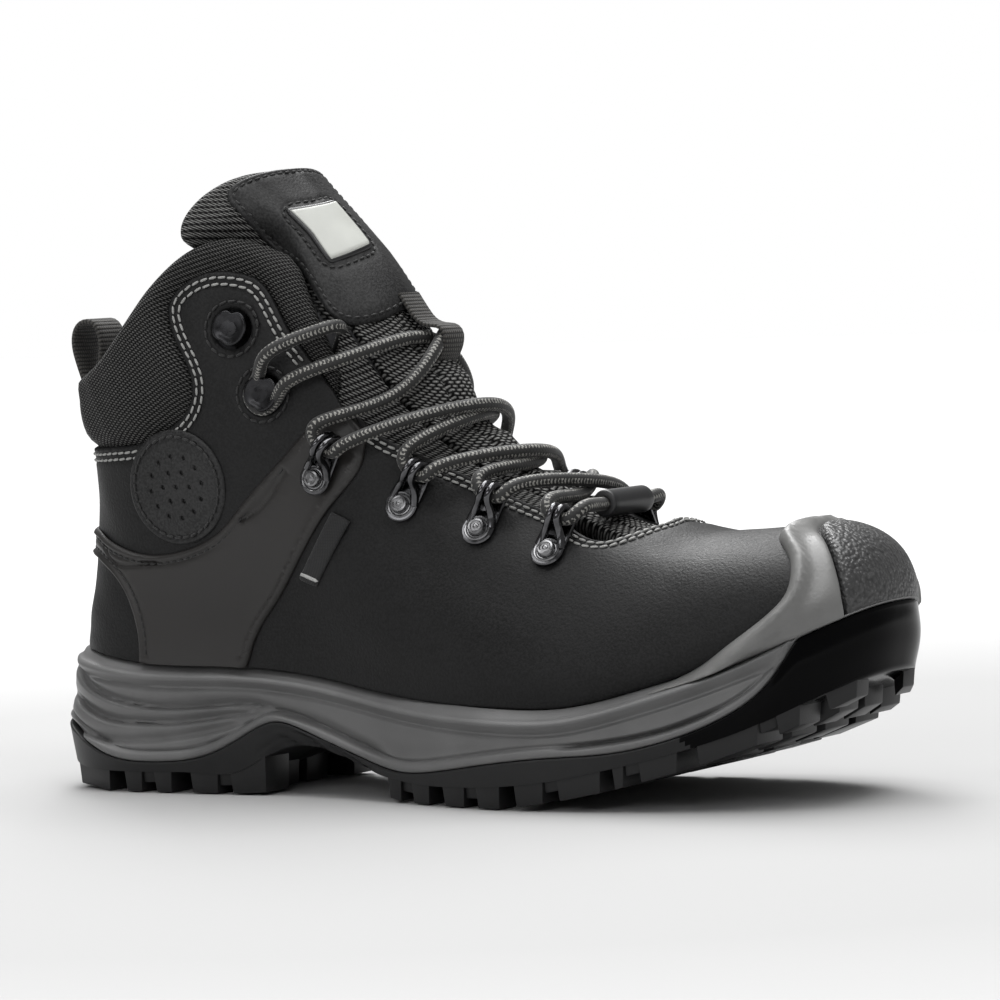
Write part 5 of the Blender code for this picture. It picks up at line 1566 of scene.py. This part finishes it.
# places of the rivets in side view, and which way their eyes point
RIVETS = [(122, 101), (151, 92), (178, 84), (203, 77)]
EYE_AIMS = [(6, 11), (5, 11), (3, 12), (2, 11)]
PLATE_RADIUS = 5.3
EYE_AHEAD = 11.5
PLATE_LEVELS = [(0.5, 0.3), (0.0, 0.6), (0.0, 1.3), (0.35, 1.7), (1.0, 1.75), (1.5, 1.35), (3.2, 1.3)]
ARM_PATH = [(1.8, 3.1, 0.9), (4.6, 2.5, 2.4), (6.8, 1.6, 4.9), (8.4, 1.1, 7.0), (10.6, 1.0, 7.9),
            (12.8, 1.05, 7.0), (14.3, 1.15, 4.2), (14.9, 1.3, 1.0)]
RIVET_PROFILE = [(0, 1.2), (4.1, 1.2), (4.3, 1.9), (4.0, 2.25), (3.6, 2.1), (3.3, 1.7), (3.0, 1.75),
                 (2.8, 3.0), (2.45, 3.5), (1.9, 3.6), (1.6, 3.25), (1.0, 3.25), (0.8, 3.5), (0.4, 3.6),
                 (0, 3.6)]
HOOK_PROFILE = [(0, -4.4), (7.7, -4.4), (7.9, -3.2), (7.2, -2.7), (5.6, -3.4), (3.4, -3.3), (2.3, -2.2),
                (1.9, -0.5), (1.9, 1.6), (2.6, 2.1), (0, 2.2)]
HEAD_LEVELS = [(0.3, 1.8), (0.85, 1.6), (0.97, 1.8), (1.0, 2.2), (0.95, 2.6), (0.86, 2.65), (0.7, 2.2),
               (0.4, 1.95), (0.15, 1.9)]
HEAD_RADIUS = 6.1


def plate_outline(inset, count):
    """A teardrop: round about the rivet, narrower at the eye."""
    angle = circle_angles(count)
    front = np.cos(angle) > 0
    reach = np.where(front, PLATE_RADIUS * 0.88, PLATE_RADIUS) - inset
    ahead = reach * np.cos(angle) + np.where(front, EYE_AHEAD - 0.4, 0.0)
    return ahead, (np.where(front, PLATE_RADIUS * 0.82, PLATE_RADIUS) - inset) * np.sin(angle)


def make_loop(name, seat, loop_node, rivet_node):
    """A pressed plate with two arms joined in an arch over the eye, and its ringed rivet."""
    count = 48
    points = [seat.at(ahead, across, height) for inset, height in PLATE_LEVELS
              for ahead, across in zip(*plate_outline(inset, count))]
    faces = row_faces(len(PLATE_LEVELS), count)
    plate = face_out(make_object(name, points, faces, NICKEL, None, 40))
    arms = []
    for across in (-1.25, 1.25):
        line = smooth(np.array([seat.at(ahead, aside * across, up) for ahead, aside, up in ARM_PATH]), 0.6)
        thick = np.interp(np.linspace(0, 1, len(line)), (0, 0.3, 0.6, 1), (1.5, 1.2, 1.22, 1.3))
        arms.append(tube(name + "_arm", line, thick, NICKEL, 12))
    place(join(name, [plate, *arms]), "boot", "hardware", loop_node)
    rivet = lathe(name + "_rivet", seat, RIVET_PROFILE, RIVET_STEEL, 28)
    place(rivet, "boot", "hardware", rivet_node)


def make_hook(name, seat, node):
    """A hook sunk in its window: a dished base, a neck and a wide dished head that fills the window."""
    base = lathe(name, seat, HOOK_PROFILE, PAINTED, 32)
    angle = circle_angles(44)
    lip = HEAD_RADIUS * (1 - 0.16 * crease(angle - 3.4, 0.35) - 0.22 * crease(angle - 0.6, 0.30))
    points = [seat.at(0.3 + size * reach * math.cos(a), 0.95 * size * reach * math.sin(a),
                      height + 0.5 * reach * math.cos(a))
              for reach, height in HEAD_LEVELS for size, a in zip(lip, angle)]
    faces = row_faces(len(HEAD_LEVELS), len(angle))
    head = face_out(make_object(name + "_head", points, faces, PAINTED, None, 60))
    place(join(name, [base, head]), "boot", "hardware", node)


seats, hooks = {}, {}
for side, word in SIDES:
    for row, ((x, z), aim) in enumerate(zip(RIVETS, EYE_AIMS), 1):
        seats[side, row] = Seat(x, z, side, aim, BAND_LIFT if row == 1 else 0.2)
        end = f"{word}_{row}"
        make_loop("eye_plate_" + end, seats[side, row], "lace_loop_" + end, "lace_rivet_" + end)
    for row, (x, z) in enumerate(HOOK_SPOTS, 1):
        hooks[side, row] = Seat(x, z, side, (6, 6))
        make_hook(f"sunk_hook_{word}_{row}", hooks[side, row], f"hook_{word}_{row}")


# ---------------------------------------------------------------- lace

BAR_MIDDLE = np.array((CROSSING_X["bar"], mid_line(212), 91.0))
OVER = 4.3
HOOK_STRAND = (132.5, 139.5, 2.2)
LOOP_STRAND = (143, 126, 1.6)
BRAID_PITCH = 2.6
BRAID_RIDGES = 8
STRAND_STEP = 0.345
STRAND_SIDES = 32
FLECK_PITCH = 1.3
GAP_BELOW = 0.74


def eye_pass(seat, towards_heel):
    """The lace through one loop's eye and back towards the middle."""
    sign = 1 if (seat.across[0] < 0) == towards_heel else -1
    turn = [(15.2, -6.0, 4.6), (11.4, -3.7, 4.3), (10.6, 0.0, 4.2), (11.4, 3.7, 4.3), (15.2, 6.0, 4.6)]
    return [seat.at(ahead, sign * across, up) for ahead, across, up in turn]


def hook_pass(seat, towards_heel):
    """The lace round the back of a hook's neck."""
    sign = 1 if (seat.across[0] < 0) == towards_heel else -1
    turn = [(10.0, -4.9, 4.0), (3.0, -4.7, 0.8), (-3.1, -3.5, -0.6), (-4.7, 0.0, -0.9), (-3.1, 3.5, -0.6),
            (3.0, 4.7, 0.8)]
    return [seat.at(ahead, sign * across, up) for ahead, across, up in turn]


def crossing(name, lift):
    """The middle of a strand, where it passes the other one over the tongue."""
    x = float(CROSSING_X[name])
    top = float(ridge(x))
    k = float(to_ring(x, top - 0.2, LATERAL)[1])
    surface = -2.6 - float(pressed(k))
    return np.array((x, float(mid_line(x)), top)) + outward(0.5, k) * (surface + LACE_RADIUS + 0.4 + lift)


def aside(x, z, depth, side):
    """A waypoint beside the middle, at a height above the upper's face."""
    return on_side(x, z, side) + normal_at(x, z, side) * depth


def lace_route():
    """One lace from its end inside the lateral side, down the rows, across, up, to its other end."""
    def tail(side):
        seat = hooks[side, 2]
        rim = [(119, 146, 4.9), (123.5, 148, 2.2), (125.3, 149, -3.5), (125.0, 148, -9.5), (122, 143, -13)]
        within = [(119, 130, -13.5), (116, 116, -13.5), (112, 104, -13.5)]
        spots = [aside(*spot, side) for spot in rim + within]
        return [seat.at(12.0, 5.4 if seat.across[0] < 0 else -5.4, 7.0)] + spots
    down = tail(LATERAL)[::-1] + hook_pass(hooks[LATERAL, 2], True)[::-1]
    down += [aside(*HOOK_STRAND, LATERAL), crossing("keeper", 0), aside(*LOOP_STRAND, MEDIAL)]
    for side, row in ((MEDIAL, 1), (LATERAL, 2), (MEDIAL, 3), (LATERAL, 4)):
        down += eye_pass(seats[side, row], False)
        if row < 4:
            down.append(crossing(row + 1, 0.6 if row != 2 else OVER + 0.6))
    bar = [BAR_MIDDLE + ACROSS * y for y in (-15.5, -8, 0, 8, 15.5)]
    up = []
    for side, row in ((MEDIAL, 4), (LATERAL, 3), (MEDIAL, 2), (LATERAL, 1)):
        up += eye_pass(seats[side, row], True)
        if row > 1:
            up.append(crossing(row, OVER + 0.6 if row != 3 else 0.6))
    up += [aside(*LOOP_STRAND, LATERAL), crossing("keeper", OVER), aside(*HOOK_STRAND, MEDIAL)]
    up += hook_pass(hooks[MEDIAL, 2], True)
    return down + bar + up + tail(MEDIAL)


def lace_line(points):
    """The smooth line through the route."""
    points = np.array(points)
    steps = np.concatenate(([0], np.cumsum(np.linalg.norm(np.diff(points, axis=0), axis=1) ** 0.5)))
    fine = np.linspace(0, steps[-1], 6000)
    return resample(np.stack([curve(steps, points[:, i])(fine) for i in range(3)], -1), STRAND_STEP)


def strands(run, angle):
    """How high the braid stands, from 0 in its gaps to 1: two families of strands that wind opposite ways."""
    one = np.cos(BRAID_RIDGES * angle / 2 + 2 * np.pi * run / BRAID_PITCH)
    other = np.cos(BRAID_RIDGES * angle / 2 - 2 * np.pi * run / BRAID_PITCH)
    return np.maximum(np.abs(one), np.abs(other))


def braid(run, angle):
    return 0.90 + 0.13 * strands(run, angle)


def strand_tone(run, angle):
    """0 for the plain thread, 1 for the light one, in short dashes along four lines, 2 for painted shade in
    the gaps between the strands.
    """
    line = np.abs((angle * 4 / np.pi + 0.5) % 2 - 1) < 0.42
    dash = (run / FLECK_PITCH + np.floor(angle * 4 / np.pi) * 0.5) % 1.0 < 0.55
    return np.where(strands(run, angle) < GAP_BELOW, 2, np.where(line & dash, 1, 0))


def make_lace():
    line = lace_line(lace_route())
    strand = tube("braided_lace", line, LACE_RADIUS, BRAID, STRAND_SIDES, braid)
    run = run_along(line)
    middle = (run[:-1] + run[1:]) / 2
    angle = (np.arange(STRAND_SIDES) + 0.5) * 2 * np.pi / STRAND_SIDES
    shown = strand_tone(middle[:, None], angle[None, :]).ravel()
    # the light flecks, and black thread as painted shade in the braid's gaps
    for tone in (FLECK, BLACK_THREAD):
        strand.data.materials.append(tone)
    strand.data.polygons.foreach_set("material_index", np.concatenate((shown, (0, 0))).astype(np.int32))
    place(strand, "boot", "lace", "lace")
    return line


def make_tips(line):
    """The hard film round both ends of the lace, inside the boot."""
    for word, end, before in (("lateral", line[0], line[3]), ("medial", line[-1], line[-4])):
        along = unit(end - before)
        film = resample([end + along * 0.3, end + along * 12], 1.0)
        tip = tube("lace_tip_film_" + word, film, 1.75, LABEL_FRAME, 16)
        place(tip, "boot", "lace", "lace_tip_" + word)


def make_tag():
    """The soft blank tube on the lowest bar of the lace."""
    half, inner, outer = 12.0, LACE_RADIUS + 0.35, 4.3
    edge = [(half, 0.5), (half - 0.25, 0.15), (half - 0.7, 0), (half - 3, 0)]
    section = [(-half, inner)] + [(-y, outer - less) for y, less in edge]
    section += [(y, outer - less) for y, less in edge[::-1]] + [(half, inner)]
    count = 40
    points = [BAR_MIDDLE + (r * math.cos(a), y, r * math.sin(a)) for y, r in section
              for a in circle_angles(count)]
    faces = row_faces(len(section), count, closed=True)
    sleeve = face_out(make_object("lace_tag_sleeve", points, faces, SOFT_TAG, None, 40))
    place(sleeve, "tag", "tag", "lace_tag")


lace = make_lace()
make_tag()
make_tips(lace)
